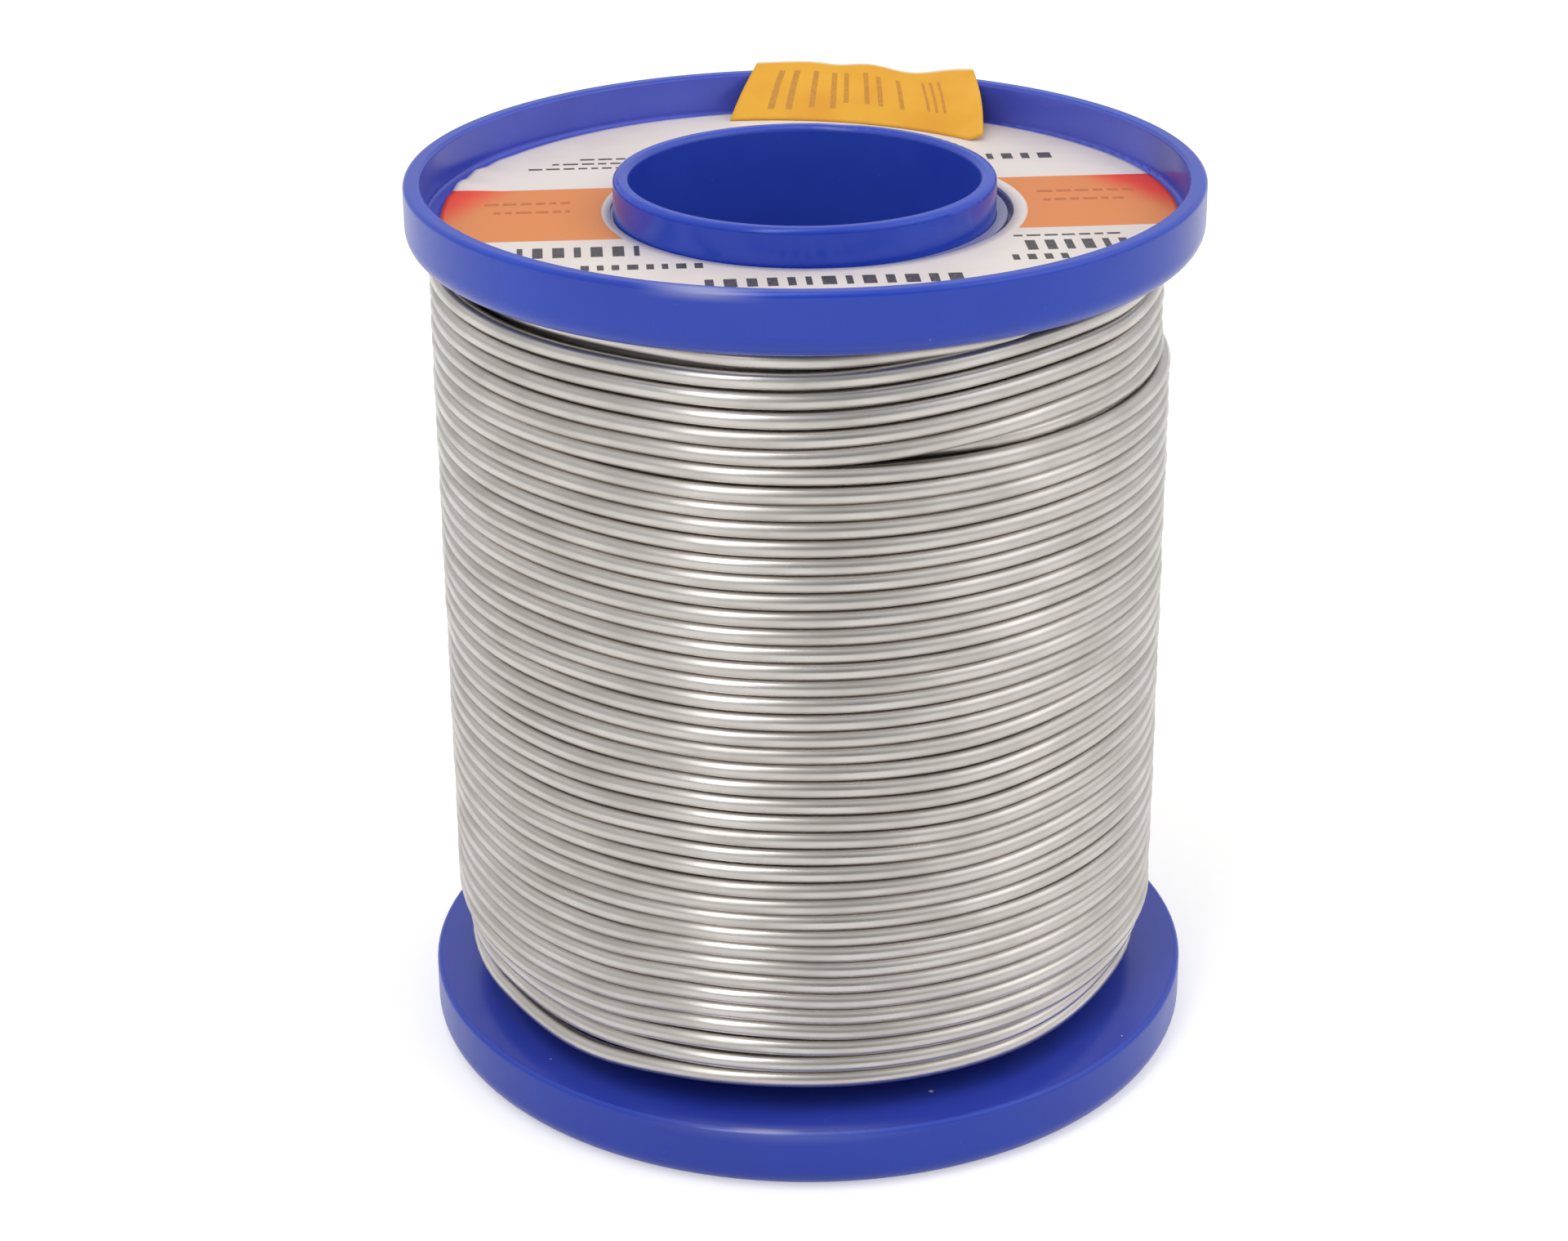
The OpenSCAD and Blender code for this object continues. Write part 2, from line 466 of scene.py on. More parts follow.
    def painted_highlights(
        self,
        tree: bpy.types.NodeTree,
        place: bpy.types.NodeSocket,
        from_axis: bpy.types.NodeSocket,
    ) -> list[bpy.types.NodeSocket]:
        """Gives the painted edge highlights, which fade from their edge and to both sides.

        Args:
            tree: The material's node tree.
            place: The place on the spool.
            from_axis: Its distance from the spool's axis.

        Returns:
            For each stretch, how far it covers the surface.
        """
        right, back, height = add_node(tree, "SeparateXYZ", {"Vector": place}).outputs
        front = add_node(tree, "Math", {0: back, 1: -1.0}, operation="MULTIPLY").outputs[0]
        side = add_node(tree, "Math", {0: right, 1: front}, operation="ARCTAN2").outputs[0]
        section = add_node(tree, "CombineXYZ", {"X": from_axis, "Y": height}).outputs[0]
        spots = []
        for highlight in self.edge_highlights:
            far = add_node(
                tree,
                "VectorMath",
                {0: section, 1: (highlight.edge_radius * MM, highlight.z * MM, 0.0)},
                operation="DISTANCE",
            )
            turned = add_node(
                tree, "Math", {0: side, 1: math.radians(highlight.side)}, operation="SUBTRACT"
            ).outputs[0]
            away = add_node(tree, "Math", {0: turned}, operation="ABSOLUTE").outputs[0]
            spot = highlight.share
            for value, reach in (
                (far.outputs["Value"], highlight.reach * MM),
                (away, math.radians(highlight.half)),
            ):
                spot = add_node(
                    tree,
                    "MapRange",
                    {"Value": value, "From Min": reach, "From Max": 0.0, "To Max": spot},
                    interpolation_type="SMOOTHSTEP",
                ).outputs[0]
            spots.append(spot)
        return spots

    def add_tints(
        self,
        tree: bpy.types.NodeTree,
        place: bpy.types.NodeSocket,
        from_axis: bpy.types.NodeSocket,
        cloud: bpy.types.NodeSocket,
        surface: bpy.types.NodeSocket,
    ) -> bpy.types.NodeSocket:
        """Lays the tints, mostly painted light and shade, weaker and stronger by patches.

        Args:
            tree: The material's node tree.
            place: The place on the spool.
            from_axis: Its distance from the spool's axis.
            cloud: The noise of the patches.
            surface: The colour under the tints.

        Returns:
            The colour with the tints on it.
        """
        height = add_node(tree, "SeparateXYZ", {"Vector": place}).outputs["Z"]
        patchy = add_node(
            tree,
            "MapRange",
            {
                "Value": cloud,
                "From Min": NOISE_LOW,
                "From Max": NOISE_HIGH,
                "To Min": self.tint_thin,
                "To Max": self.tint_thick,
            },
        ).outputs[0]
        for tint in self.tints:
            cover = add_node(
                tree, "Math", {0: patchy, 1: tint.share}, operation="MULTIPLY"
            ).outputs[0]
            for value, low, high in (
                (from_axis, tint.inner, tint.outer),
                (height, tint.low, tint.high),
            ):
                within = add_node(
                    tree,
                    "Math",
                    {0: value, 1: 0.5 * (low + high) * MM, 2: 0.5 * (high - low) * MM},
                    operation="COMPARE",
                ).outputs[0]
                cover = add_node(
                    tree, "Math", {0: cover, 1: within}, operation="MULTIPLY"
                ).outputs[0]
            surface = add_node(
                tree,
                "Mix",
                {"Factor": cover, "A": surface, "B": linear(tint.colour)},
                data_type="RGBA",
            ).outputs["Result"]
        return surface

    def make(self) -> bpy.types.Material:
        """Builds the material.

        Returns:
            The material.
        """
        material, tree = new_material(self.name)
        place = add_node(tree, "TexCoord").outputs["Object"]
        tones = ((self.ramp[0], self.deep_colour), (self.ramp[1], self.colour))
        cloud, surface = two_tones(tree, place, self.cloud_mm * MM, 3.0, tones)
        # Hairline scratches: a noise drawn out far in one direction, cut to its thin crests
        long_way = add_node(
            tree,
            "Mapping",
            {"Vector": place, "Rotation": self.scratch_turn, "Scale": self.scratch_stretch},
        )
        scratch = add_node(
            tree,
            "TexNoise",
            {"Vector": long_way.outputs[0], "Scale": 1 / (self.scratch_mm * MM), "Detail": 2.0},
        )
        scratch_mask = add_node(
            tree,
            "MapRange",
            {
                "Value": scratch.outputs["Fac"],
                "From Min": self.crest_low,
                "From Max": self.crest_high,
            },
        ).outputs[0]
        rough = add_node(
            tree,
            "MapRange",
            {
                "Value": cloud,
                "From Min": NOISE_LOW,
                "From Max": NOISE_HIGH,
                "To Min": self.roughness_low,
                "To Max": self.roughness_high,
            },
        )
        rough_scratched = add_node(
            tree,
            "Math",
            {0: scratch_mask, 1: self.scratch_dulling, 2: rough.outputs[0]},
            operation="MULTIPLY_ADD",
        )
        flat = add_node(
            tree, "VectorMath", {0: place, 1: (1, 1, 0)}, operation="MULTIPLY"
        ).outputs[0]
        from_axis = add_node(tree, "VectorMath", {0: flat}, operation="LENGTH").outputs["Value"]
        surface = self.add_tints(tree, place, from_axis, cloud, surface)
        # Dust specks and painted edge highlights, in one pale colour
        dust_and_highlight: float | bpy.types.NodeSocket = 0.0
        for spot in self.specks(tree, place) + self.painted_highlights(tree, place, from_axis):
            dust_and_highlight = add_node(tree, "Math", {0: dust_and_highlight, 1: spot}, operation="MAXIMUM").outputs[0]
        dusted_and_highlit = add_node(
            tree,
            "Mix",
            {"Factor": dust_and_highlight, "A": surface, "B": linear(self.dust_and_highlight_colour)},
            data_type="RGBA",
        )
        peel = grain_relief(
            tree, place, self.peel_mm * MM, 1.0, self.peel_strength, self.peel_depth_mm
        )
        relief = add_node(
            tree,
            "Bump",
            {
                "Strength": self.scratch_strength,
                "Distance": self.scratch_depth_mm * MM,
                "Height": scratch_mask,
                "Normal": peel,
            },
            invert=True,
        )
        shader = add_node(
            tree,
            "BsdfPrincipled",
            {
                "Base Color": dusted_and_highlit.outputs["Result"],
                "Roughness": rough_scratched.outputs[0],
                "IOR": self.ior,
                "Specular IOR Level": self.gloss,
                "Normal": relief.outputs[0],
            },
        )
        add_node(tree, "OutputMaterial", {"Surface": shader.outputs[0]})
        return material


@dataclass(frozen=True)
class DrawnSolder:
    """Tin-lead solder wire, drawn through a die.

    A soft bare metal with a satin, faintly warm grey shine. The die leaves fine lines along
    the wire, and handling leaves duller patches of oxide.
    """

    name: str = "drawn_tin_lead_solder"
    colour: str = "#dad5d1"
    oxide_colour: str = "#c7c2bd"
    roughness_low: float = 0.25
    roughness_high: float = 0.38
    # Length of the patches along the wire, how many there are in a millimetre across it, and
    # the noise values where each colour and each roughness is full
    patch_mm: float = 9.0
    patch_across: float = 0.45
    colour_ramp: tuple[float, float] = (0.35, 0.6)
    roughness_ramp: tuple[float, float] = (0.35, 0.65)
    # Spacing, length, strength and depth of the die lines: they are drawn far coarser than
    # real ones, so that they show
    line_mm: float = 0.16
    line_length_mm: float = 14.0
    line_strength: float = 0.3
    line_depth_mm: float = 0.02
    # The die lines spread the shine across the wire, a quarter turn from their run
    line_spread: float = 0.35
    line_turn: float = 0.25

    def make(self) -> bpy.types.Material:
        """Builds the material, on a map that runs along the wire in millimetres.

        Returns:
            The material.
        """
        material, tree = new_material(self.name)
        place = add_node(tree, "UVMap", uv_map="surface").outputs["UV"]
        patch_place = add_node(
            tree,
            "Mapping",
            {"Vector": place, "Scale": (1 / self.patch_mm, self.patch_across, 1.0)},
        ).outputs[0]
        tones = ((self.colour_ramp[0], self.oxide_colour), (self.colour_ramp[1], self.colour))
        patch, colour = two_tones(tree, patch_place, 1.0, 4.0, tones)
        rough = add_node(
            tree,
            "MapRange",
            {
                "Value": patch,
                "From Min": self.roughness_ramp[1],
                "From Max": self.roughness_ramp[0],
                "To Min": self.roughness_low,
                "To Max": self.roughness_high,
            },
        )
        line_place = add_node(
            tree,
            "Mapping",
            {"Vector": place, "Scale": (1 / self.line_length_mm, 1 / self.line_mm, 1.0)},
        ).outputs[0]
        lines = grain_relief(
            tree, line_place, 1.0, 3.0, self.line_strength, self.line_depth_mm
        )
        run = add_node(tree, "Tangent", direction_type="UV_MAP", uv_map="surface").outputs[0]
        shader = add_node(
            tree,
            "BsdfPrincipled",
            {
                "Base Color": colour,
                "Metallic": 1.0,
                "Roughness": rough.outputs[0],
                "Anisotropic": self.line_spread,
                "Anisotropic Rotation": self.line_turn,
                "Tangent": run,
                "Normal": lines,
            },
        )
        add_node(tree, "OutputMaterial", {"Surface": shader.outputs[0]})
        return material


@dataclass(frozen=True)
class PrintedPaper:
    """Semi-gloss coated label paper, off-white, with one printed orange band.

    The band runs from side to side and stops at a white ring round the hole. The coating
    gives a soft sheen, and the paper a faint unevenness.
    """

    name: str = "coated_label_paper"
    colour: str = "#f6ece4"
    aged_colour: str = "#eee2da"
    band_colour: str = "#f09047"
    band_end_colour: str = "#fb4510"
    roughness: float = 0.42
    # The band's turn in degrees, and its middle line and half width
    band_turn: float = PRINT_TURN
    band_middle_mm: float = 0.35
    band_half_mm: float = 7.55
    # The white ring's radius and middle
    ring_mm: float = 18.25
    ring_x_mm: float = 0.83
    ring_y_mm: float = 0.5
    # Where the band's red begins and is full, measured outwards and partly to the back
    band_fade_mm: float = 27.9
    band_full_mm: float = 32.9
    band_lean: float = 0.55
    # Half the softness of the printed edges
    edge_mm: float = 0.06
    # Size of the aged patches, and the noise values where each colour is full
    cloud_mm: float = 9.0
    ramp: tuple[float, float] = (0.35, 0.6)
    # Size, strength and depth of the paper's unevenness, coarser than real so that it shows
    fibre_mm: float = 0.5
    fibre_strength: float = 0.3
    fibre_depth_mm: float = 0.02

    def make(self) -> bpy.types.Material:
        """Builds the material.

        Returns:
            The material.
        """
        material, tree = new_material(self.name)
        place = add_node(tree, "TexCoord").outputs["Object"]
        turned = add_node(
            tree,
            "VectorRotate",
            {"Vector": place, "Angle": -math.radians(self.band_turn)},
            rotation_type="Z_AXIS",
        )
        along, across, _ = add_node(
            tree, "SeparateXYZ", {"Vector": turned.outputs[0]}
        ).outputs
        # The band: near its middle line, and past the white ring
        from_middle = add_node(
            tree, "Math", {0: across, 1: self.band_middle_mm * MM}, operation="SUBTRACT"
        ).outputs[0]
        off_middle = add_node(tree, "Math", {0: from_middle}, operation="ABSOLUTE")
        in_band = add_node(
            tree,
            "MapRange",
            {
                "Value": off_middle.outputs[0],
                "From Min": (self.band_half_mm + self.edge_mm) * MM,
                "From Max": (self.band_half_mm - self.edge_mm) * MM,
            },
        )
        flat = add_node(
            tree, "VectorMath", {0: place, 1: (1, 1, 0)}, operation="MULTIPLY"
        ).outputs[0]
        off_hole = add_node(
            tree,
            "VectorMath",
            {0: flat, 1: (self.ring_x_mm * MM, self.ring_y_mm * MM, 0)},
            operation="SUBTRACT",
        ).outputs[0]
        from_hole = add_node(tree, "VectorMath", {0: off_hole}, operation="LENGTH")
        past_ring = add_node(
            tree,
            "MapRange",
            {
                "Value": from_hole.outputs["Value"],
                "From Min": (self.ring_mm - self.edge_mm) * MM,
                "From Max": (self.ring_mm + self.edge_mm) * MM,
            },
        )
        band = add_node(
            tree, "Math", {0: in_band.outputs[0], 1: past_ring.outputs[0]}, operation="MULTIPLY"
        )
        # Its red ends
        to_side = add_node(tree, "Math", {0: along}, operation="ABSOLUTE").outputs[0]
        reach = add_node(
            tree,
            "Math",
            {0: across, 1: self.band_lean, 2: to_side},
            operation="MULTIPLY_ADD",
        ).outputs[0]
        outwards = add_node(
            tree,
            "MapRange",
            {
                "Value": reach,
                "From Min": self.band_fade_mm * MM,
                "From Max": self.band_full_mm * MM,
            },
            interpolation_type="SMOOTHSTEP",
        )
        ink = add_node(
            tree,
            "Mix",
            {
                "Factor": outwards.outputs[0],
                "A": linear(self.band_colour),
                "B": linear(self.band_end_colour),
            },
            data_type="RGBA",
        )
        tones = ((self.ramp[0], self.aged_colour), (self.ramp[1], self.colour))
        _, paper = two_tones(tree, place, self.cloud_mm * MM, 3.0, tones)
        printed = add_node(
            tree,
            "Mix",
            {"Factor": band.outputs[0], "A": paper, "B": ink.outputs["Result"]},
            data_type="RGBA",
        )
        fibres = grain_relief(
            tree, place, self.fibre_mm * MM, 4.0, self.fibre_strength, self.fibre_depth_mm
        )
        shader = add_node(
            tree,
            "BsdfPrincipled",
            {
                "Base Color": printed.outputs["Result"],
                "Roughness": self.roughness,
                "Normal": fibres,
            },
        )
        add_node(tree, "OutputMaterial", {"Surface": shader.outputs[0]})
        return material


@dataclass(frozen=True)
class PrintingInk:
    """Matt printing ink, slightly broken up where the paper's grain took less of it."""

    name: str
    colour: str
    worn_colour: str
    roughness: float = 0.5
    # Size of the paper's grain, coarser than real so that it shows, and the noise values
    # where each colour is full
    grain_mm: float = 0.25
    ramp: tuple[float, float] = (0.4, 0.75)

    def make(self) -> bpy.types.Material:
        """Builds the material.

        Returns:
            The material.
        """
        material, tree = new_material(self.name)
        place = add_node(tree, "TexCoord").outputs["Object"]
        tones = ((self.ramp[0], self.colour), (self.ramp[1], self.worn_colour))
        _, colour = two_tones(tree, place, self.grain_mm * MM, 3.0, tones)
        shader = add_node(
            tree, "BsdfPrincipled", {"Base Color": colour, "Roughness": self.roughness}
        )
        add_node(tree, "OutputMaterial", {"Surface": shader.outputs[0]})
        return material


@dataclass(frozen=True)
class StickerPaper:
    """Uncoated day-glow price-sticker paper: matt, saturated orange-yellow, soft fibres."""

    name: str = "day_glow_sticker_paper"
    colour: str = "#fab92e"
    deep_colour: str = "#f5aa25"
    # A painted highlight in pale cream along the cut top edge
    top_highlight_colour: str = "#ffe2bc"
    top_highlight_share: float = 0.03
    roughness: float = 0.62
    # The raised fibres' faint shine at a low angle
    sheen: float = 0.1
    # Size of the deeper patches, and the noise values where each colour is full
    cloud_mm: float = 5.0
    ramp: tuple[float, float] = (0.35, 0.6)
    # Size, strength and depth of the fibres, coarser than real so that they show
    fibre_mm: float = 0.35
    fibre_strength: float = 0.4
    fibre_depth_mm: float = 0.03

    def make(self) -> bpy.types.Material:
        """Builds the material.

        Returns:
            The material.
        """
        material, tree = new_material(self.name)
        place = add_node(tree, "TexCoord").outputs["Object"]
        tones = ((self.ramp[0], self.deep_colour), (self.ramp[1], self.colour))
        _, colour = two_tones(tree, place, self.cloud_mm * MM, 4.0, tones)
        # The map's second value is the share of the sticker's height
        shares = add_node(tree, "UVMap", uv_map="surface").outputs["UV"]
        height = add_node(tree, "SeparateXYZ", {"Vector": shares}).outputs["Y"]
        # The painted highlight along the top edge
        at_top_highlight = add_node(
            tree,
            "MapRange",
            {
                "Value": height,
                "From Min": 1 - self.top_highlight_share,
                "From Max": 1 - 0.5 * self.top_highlight_share,
            },
        )
        with_top_highlight = add_node(
            tree,
            "Mix",
            {"Factor": at_top_highlight.outputs[0], "A": colour, "B": linear(self.top_highlight_colour)},
            data_type="RGBA",
        )
        fibres = grain_relief(
            tree, place, self.fibre_mm * MM, 4.0, self.fibre_strength, self.fibre_depth_mm
        )
        shader = add_node(
            tree,
            "BsdfPrincipled",
            {
                "Base Color": with_top_highlight.outputs["Result"],
                "Roughness": self.roughness,
                "Sheen Weight": self.sheen,
                "Normal": fibres,
            },
        )
        add_node(tree, "OutputMaterial", {"Surface": shader.outputs[0]})
        return material


# ---------------------------------------------------------------- the reel


@dataclass
class Reel:
    """The three mouldings of the reel, whose CAD shapes are kept."""

    nodes: Mapping[str, bpy.types.Object]
    mouldings: tuple[str, ...] = ("barrel", "upper_flange", "lower_flange")
    finish: MouldedPolystyrene = field(default_factory=MouldedPolystyrene)

    def dress(self) -> None:
        """Gives each moulding its plastic."""
        plastic = self.finish.make()
        for name in self.mouldings:
            moulding = self.nodes[name]
            moulding.data.materials.clear()
            moulding.data.materials.append(plastic)
            LOG.info("%s: %s", name, self.finish.name)


# ---------------------------------------------------------------- the wire


@dataclass(frozen=True)
class Sway:
    """A place where turns lie off their even rows.

    The sway comes in between the first two turns and sides, holds, and goes out between the
    last two. Turns count from the top, and sides are degrees round the barrel from the
    front, anticlockwise from above.
    """

    turns: tuple[float, float, float, float]
    sides: tuple[float, float, float, float]
    rise_mm: float = 0.0
    out_mm: float = 0.0

    def share(self, turn: np.ndarray, side: np.ndarray) -> np.ndarray:
        """Tells how much of the sway there is.

        Args:
            turn: Turns from the top.
            side: Degrees from the front.

        Returns:
            A share from 0 to 1 for each place.
        """
        t0, t1, t2, t3 = self.turns
        a0, a1, a2, a3 = self.sides
        along = (side - a0) % 360.0 + a0
        return (
            smooth_step(t0, t1, turn)
            * (1.0 - smooth_step(t2, t3, turn))
            * smooth_step(a0, a1, along)
            * (1.0 - smooth_step(a2, a3, along))
        )


class Hand(Enum):
    """Which way a layer runs as it goes down: anticlockwise or clockwise from above."""

    ANTICLOCKWISE = 1
    CLOCKWISE = -1


@dataclass
class Layer:
    """One layer of wire, as one unbroken round tube along a helix.

    Turns count from 0 where the layer first passes its start side.
    """

    name: str
    wire_d: float
    radius: float
    top: float
    pitch: float
    first_turn: float
    last_turn: float
    start_side: float
    hand: Hand
    # Points of the middle line in a turn, and points round the wire
    steps: int
    sides: int
    # How far the turns have sunk in all, and in how many turns most of it comes
    loose: float
    loose_turns: float
    sways: tuple[Sway, ...]
    seed: int
    # The wire's small waver: its size outwards, the share of it that goes up and down, and
    # its cycles in a turn
    waver_mm: float = 0.03
    waver_rise: float = 0.5
    waver_cycles: tuple[float, ...] = (1.3, 2.9, 5.3, 9.7)
    # The winding's middle, to the right of the spool's
    aside_mm: float = -0.34

    def path(self) -> np.ndarray:
        """Works out the wire's middle line.

        Returns:
            Its points, in millimetres.
        """
        count = int(round((self.last_turn - self.first_turn) * self.steps)) + 1
        turn = np.linspace(self.first_turn, self.last_turn, count)
        side = self.start_side + 360.0 * turn * self.hand.value
        height = self.top - self.pitch * turn
        height -= self.loose * (1.0 - np.exp(-np.clip(turn, 0.0, None) / self.loose_turns))
        radius = np.full(count, self.radius)
        draw = np.random.default_rng(self.seed)
        rise = self.waver_rise * self.waver_mm
        for cycles in self.waver_cycles:
            for target, size in ((radius, self.waver_mm), (height, rise)):
                phase = draw.uniform(0.0, 2.0 * math.pi)
                target += size / math.sqrt(cycles) * np.sin(2 * math.pi * cycles * turn + phase)
        for sway in self.sways:
            share = sway.share(turn, side)
            height += sway.rise_mm * share
            radius += sway.out_mm * share
        angle = np.radians(side - 90.0)
        across = self.aside_mm + radius * np.cos(angle)
        return np.stack([across, radius * np.sin(angle), height], axis=1)

    def build(self, finish: bpy.types.Material) -> bpy.types.Object:
        """Sweeps the wire's round section along its path.

        Args:
            finish: The wire's material.

        Returns:
            The layer's object.
        """
        path = self.path()
        count = len(path)
        along = np.gradient(path, axis=0)
        step = np.linalg.norm(along, axis=1, keepdims=True)
        along /= step
        outward = (path - (self.aside_mm, 0.0, 0.0)) * (1.0, 1.0, 0.0)
        outward /= np.linalg.norm(outward, axis=1, keepdims=True)
        across = np.cross(along, outward)
        across /= np.linalg.norm(across, axis=1, keepdims=True)
        outward = np.cross(across, along)
        turn = np.linspace(0.0, 2.0 * math.pi, self.sides + 1)[:-1]
        ring = (
            np.cos(turn)[None, :, None] * outward[:, None, :]
            + np.sin(turn)[None, :, None] * across[:, None, :]
        )
        points = (path[:, None, :] + 0.5 * self.wire_d * ring).reshape(-1, 3)
        start = np.arange(count - 1)[:, None] * self.sides
        end = start + self.sides
        i = np.arange(self.sides)[None, :]
        j = (i + 1) % self.sides
        quads = np.stack([start + i, start + j, end + j, end + i], axis=-1).reshape(-1, 4)
        last = (count - 1) * self.sides
        caps = [
            list(range(self.sides - 1, -1, -1)),
            list(range(last, last + self.sides)),
        ]
        length = np.concatenate([[0.0], np.cumsum(step[1:, 0])])
        # The map's second value goes out and back, so that it has no seam
        around = 0.5 * self.wire_d * np.minimum(turn, 2.0 * math.pi - turn)
        uv = np.stack([np.repeat(length, self.sides), np.tile(around, count)], axis=1)
        return new_piece(
            self.name, points, quads.tolist() + caps, finish, uv, flat_faces=2
        )


@dataclass
class Winding:
    """The wound wire: the outer layer, the layer under it, and the core of hidden layers."""

    flange_face: float
    # The core's ends and its inner radius
    low: float
    high: float
    inner: float
    # A little thicker than the real 1.5 mm, so that the turns close up
    wire_d: float = 1.515
    radius: float = 31.24
    pitch: float = 1.523
    # The outer layer's start, tucked in before its first whole turn, and its end
    first_turn: float = -0.24
    turns: float = 42.42
    start_side: float = -15.0
    # How far its first turn's middle is below the flange, which its start presses 0.2 mm
    # into, and how far inside it the next layer lies
    first_drop: float = 0.74
    layer_drop: float = 1.5
    steps: int = 120
    sides: int = 14
    # The layer under it: its turns, its start side, its coarser steps and sides
    under_turns: float = 41.0
    under_side: float = 170.0
    under_steps: int = 72
    under_sides: int = 8
    # The core: its points round the barrel and in a ridge, the ridges' depth, and how many
    # there are along an end and along its outside
    core_steps: int = 96
    ridge_points: int = 4
    ridge_mm: float = 0.22
    end_ridges: int = 8
    side_ridges: int = 43
    finish: DrawnSolder = field(default_factory=DrawnSolder)

    def sways(self) -> tuple[Sway, ...]:
        """Gives the places where the outer turns lie unevenly.

        Returns:
            The sways, in the order in which they are added.
        """
        whole = (-180, -179, 179, 180)
        return (
            # The start climbs out from under the flange
            Sway((-9, -8, -0.07, 0.06), whole, out_mm=-0.75),
            Sway((-9, -8, -0.17, -0.06), whole, out_mm=-0.45),
            Sway((-9, -8, -0.24, 0.0), whole, rise_mm=-0.37),
            Sway((-2, -1, 5, 8), (-150, -110, -30, -8), rise_mm=0.2),
            # The top turns lean up at the right and lie deeper there, where they cut up to
            # 1 mm into the hidden layer under them
            Sway((0.55, 0.85, 5.5, 5.9), (-4, 50, 150, 215), rise_mm=1.62),
            Sway((-0.1, 0.0, 5.5, 5.9), (48, 76, 160, 225), out_mm=-0.78),
            Sway((-0.1, 0.0, 0.7, 0.8), (1, 19, 150, 215), out_mm=-0.5),
            Sway((-0.1, 0.0, 0.7, 0.8), (30, 62, 150, 215), out_mm=-1.05),
            Sway((-0.1, 0.0, 0.3, 0.4), (-6, 28, 110, 170), rise_mm=0.22),
            # The upper half is packed a little closer to the top, and sags at the front
            Sway((4.5, 8.2, 19.5, 27), whole, rise_mm=0.42),
            Sway((24, 27.5, 99, 100), whole, rise_mm=-0.12),
            Sway((5.2, 7.4, 24, 33), (-46, -8, 4, 46), rise_mm=-0.38),
            Sway((20, 25, 26.5, 30.5), (-42, -16, -2, 30), rise_mm=0.42),
            Sway((15, 25, 29.5, 34), (22, 62, 120, 180), rise_mm=0.75),
            Sway((31, 35, 39.6, 40.6), (-34, -16, -10, 10), rise_mm=0.32),
            Sway((31, 35, 39, 41), (-120, -60, -38, -14), rise_mm=-0.15),
            Sway((25, 29, 38, 40), (-150, -95, -64, -46), rise_mm=0.32),
            # The last turns slip down and in by the lower flange
            Sway((39.2, 40.4, 99, 100), (34, 70, 120, 200), out_mm=-0.55),
            Sway((40.2, 41.2, 99, 100), (28, 66, 130, 200), out_mm=-0.6),
            Sway((41.4, 41.7, 99, 100), (8, 66, 180, 200), out_mm=-0.1, rise_mm=0.2),
            Sway((39.0, 40.2, 99, 100), (-150, -120, -60, -30), out_mm=-0.8),
            Sway((40.8, 41.4, 99, 100), (-150, -120, -58, -26), out_mm=-0.45),
            # The last turn lies apart at the left
            Sway((41.5, 41.7, 41.95, 42.05), (-90, -62, -42, -20), rise_mm=-0.3, out_mm=0.12),
            Sway((41.5, 41.7, 99, 100), (-100, -76, -38, 0), rise_mm=-0.18, out_mm=0.33),
        )

    def layers(self) -> tuple[Layer, Layer]:
        """Gives the outer layer and the one under it.

        Returns:
            The two layers.
        """
        top = self.flange_face - self.first_drop
        outer = Layer(
            name="outer_wire",
            wire_d=self.wire_d,
            radius=self.radius,
            top=top,
            pitch=self.pitch,
            first_turn=self.first_turn,
            last_turn=self.turns,
            start_side=self.start_side,
            hand=Hand.ANTICLOCKWISE,
            steps=self.steps,
            sides=self.sides,
            loose=0.57,
            loose_turns=2.5,
            sways=self.sways(),
            seed=11,
        )
        under = Layer(
            name="under_wire",
            wire_d=self.wire_d,
            radius=self.radius - self.layer_drop,
            top=top - self.pitch,
            pitch=self.pitch,
            first_turn=0.0,
            last_turn=self.under_turns,
            start_side=self.under_side,
            hand=Hand.CLOCKWISE,
            steps=self.under_steps,
            sides=self.under_sides,
            loose=0.2,
            loose_turns=3.0,
            sways=(
                Sway((3.4, 3.9, 5.0, 5.4), (6, 38, 140, 200), out_mm=0.95),
                Sway((38, 39.5, 99, 100), (8, 66, 180, 220), out_mm=-1.0),
                Sway((38, 39.5, 99, 100), (-150, -120, -60, -30), out_mm=-1.0),
            ),
            seed=12,
        )
        return outer, under

    def build_core(self, finish: bpy.types.Material) -> bpy.types.Object:
        """Builds the hidden layers as one ring whose outside keeps their round ridges.

        Args:
            finish: The wire's material.

        Returns:
            The core's object.
        """
        outer = self.radius - self.layer_drop - 0.5 * self.wire_d
        inner, low, high = self.inner, self.low, self.high
        around = self.core_steps
        # The section: along the upper end, down the outside, and back along the lower end
        profile: list[tuple[float, float]] = []
        for count, start, end, push in (
            (self.end_ridges, (inner, high), (outer, high), (0.0, -1.0)),
            (self.side_ridges, (outer, high), (outer, low), (-1.0, 0.0)),
            (self.end_ridges, (outer, low), (inner, low), (0.0, 1.0)),
        ):
            for share in np.linspace(0.0, 1.0, self.ridge_points * count + 1)[:-1]:
                depth = self.ridge_mm * (1.0 - abs(math.sin(math.pi * count * share)))
                profile.append(
                    (
                        start[0] + (end[0] - start[0]) * share + push[0] * depth,
                        start[1] + (end[1] - start[1]) * share + push[1] * depth,
                    )
                )
        profile.append((inner, low))
        rows = np.array(profile)
        reach = rows[:, 0][:, None]
        level = np.repeat(rows[:, 1][:, None], around, axis=1)
        angle = np.linspace(0.0, 2.0 * math.pi, around + 1)[None, :-1]
        points = np.stack(
            [reach * np.cos(angle), reach * np.sin(angle), level], axis=-1
        ).reshape(-1, 3)
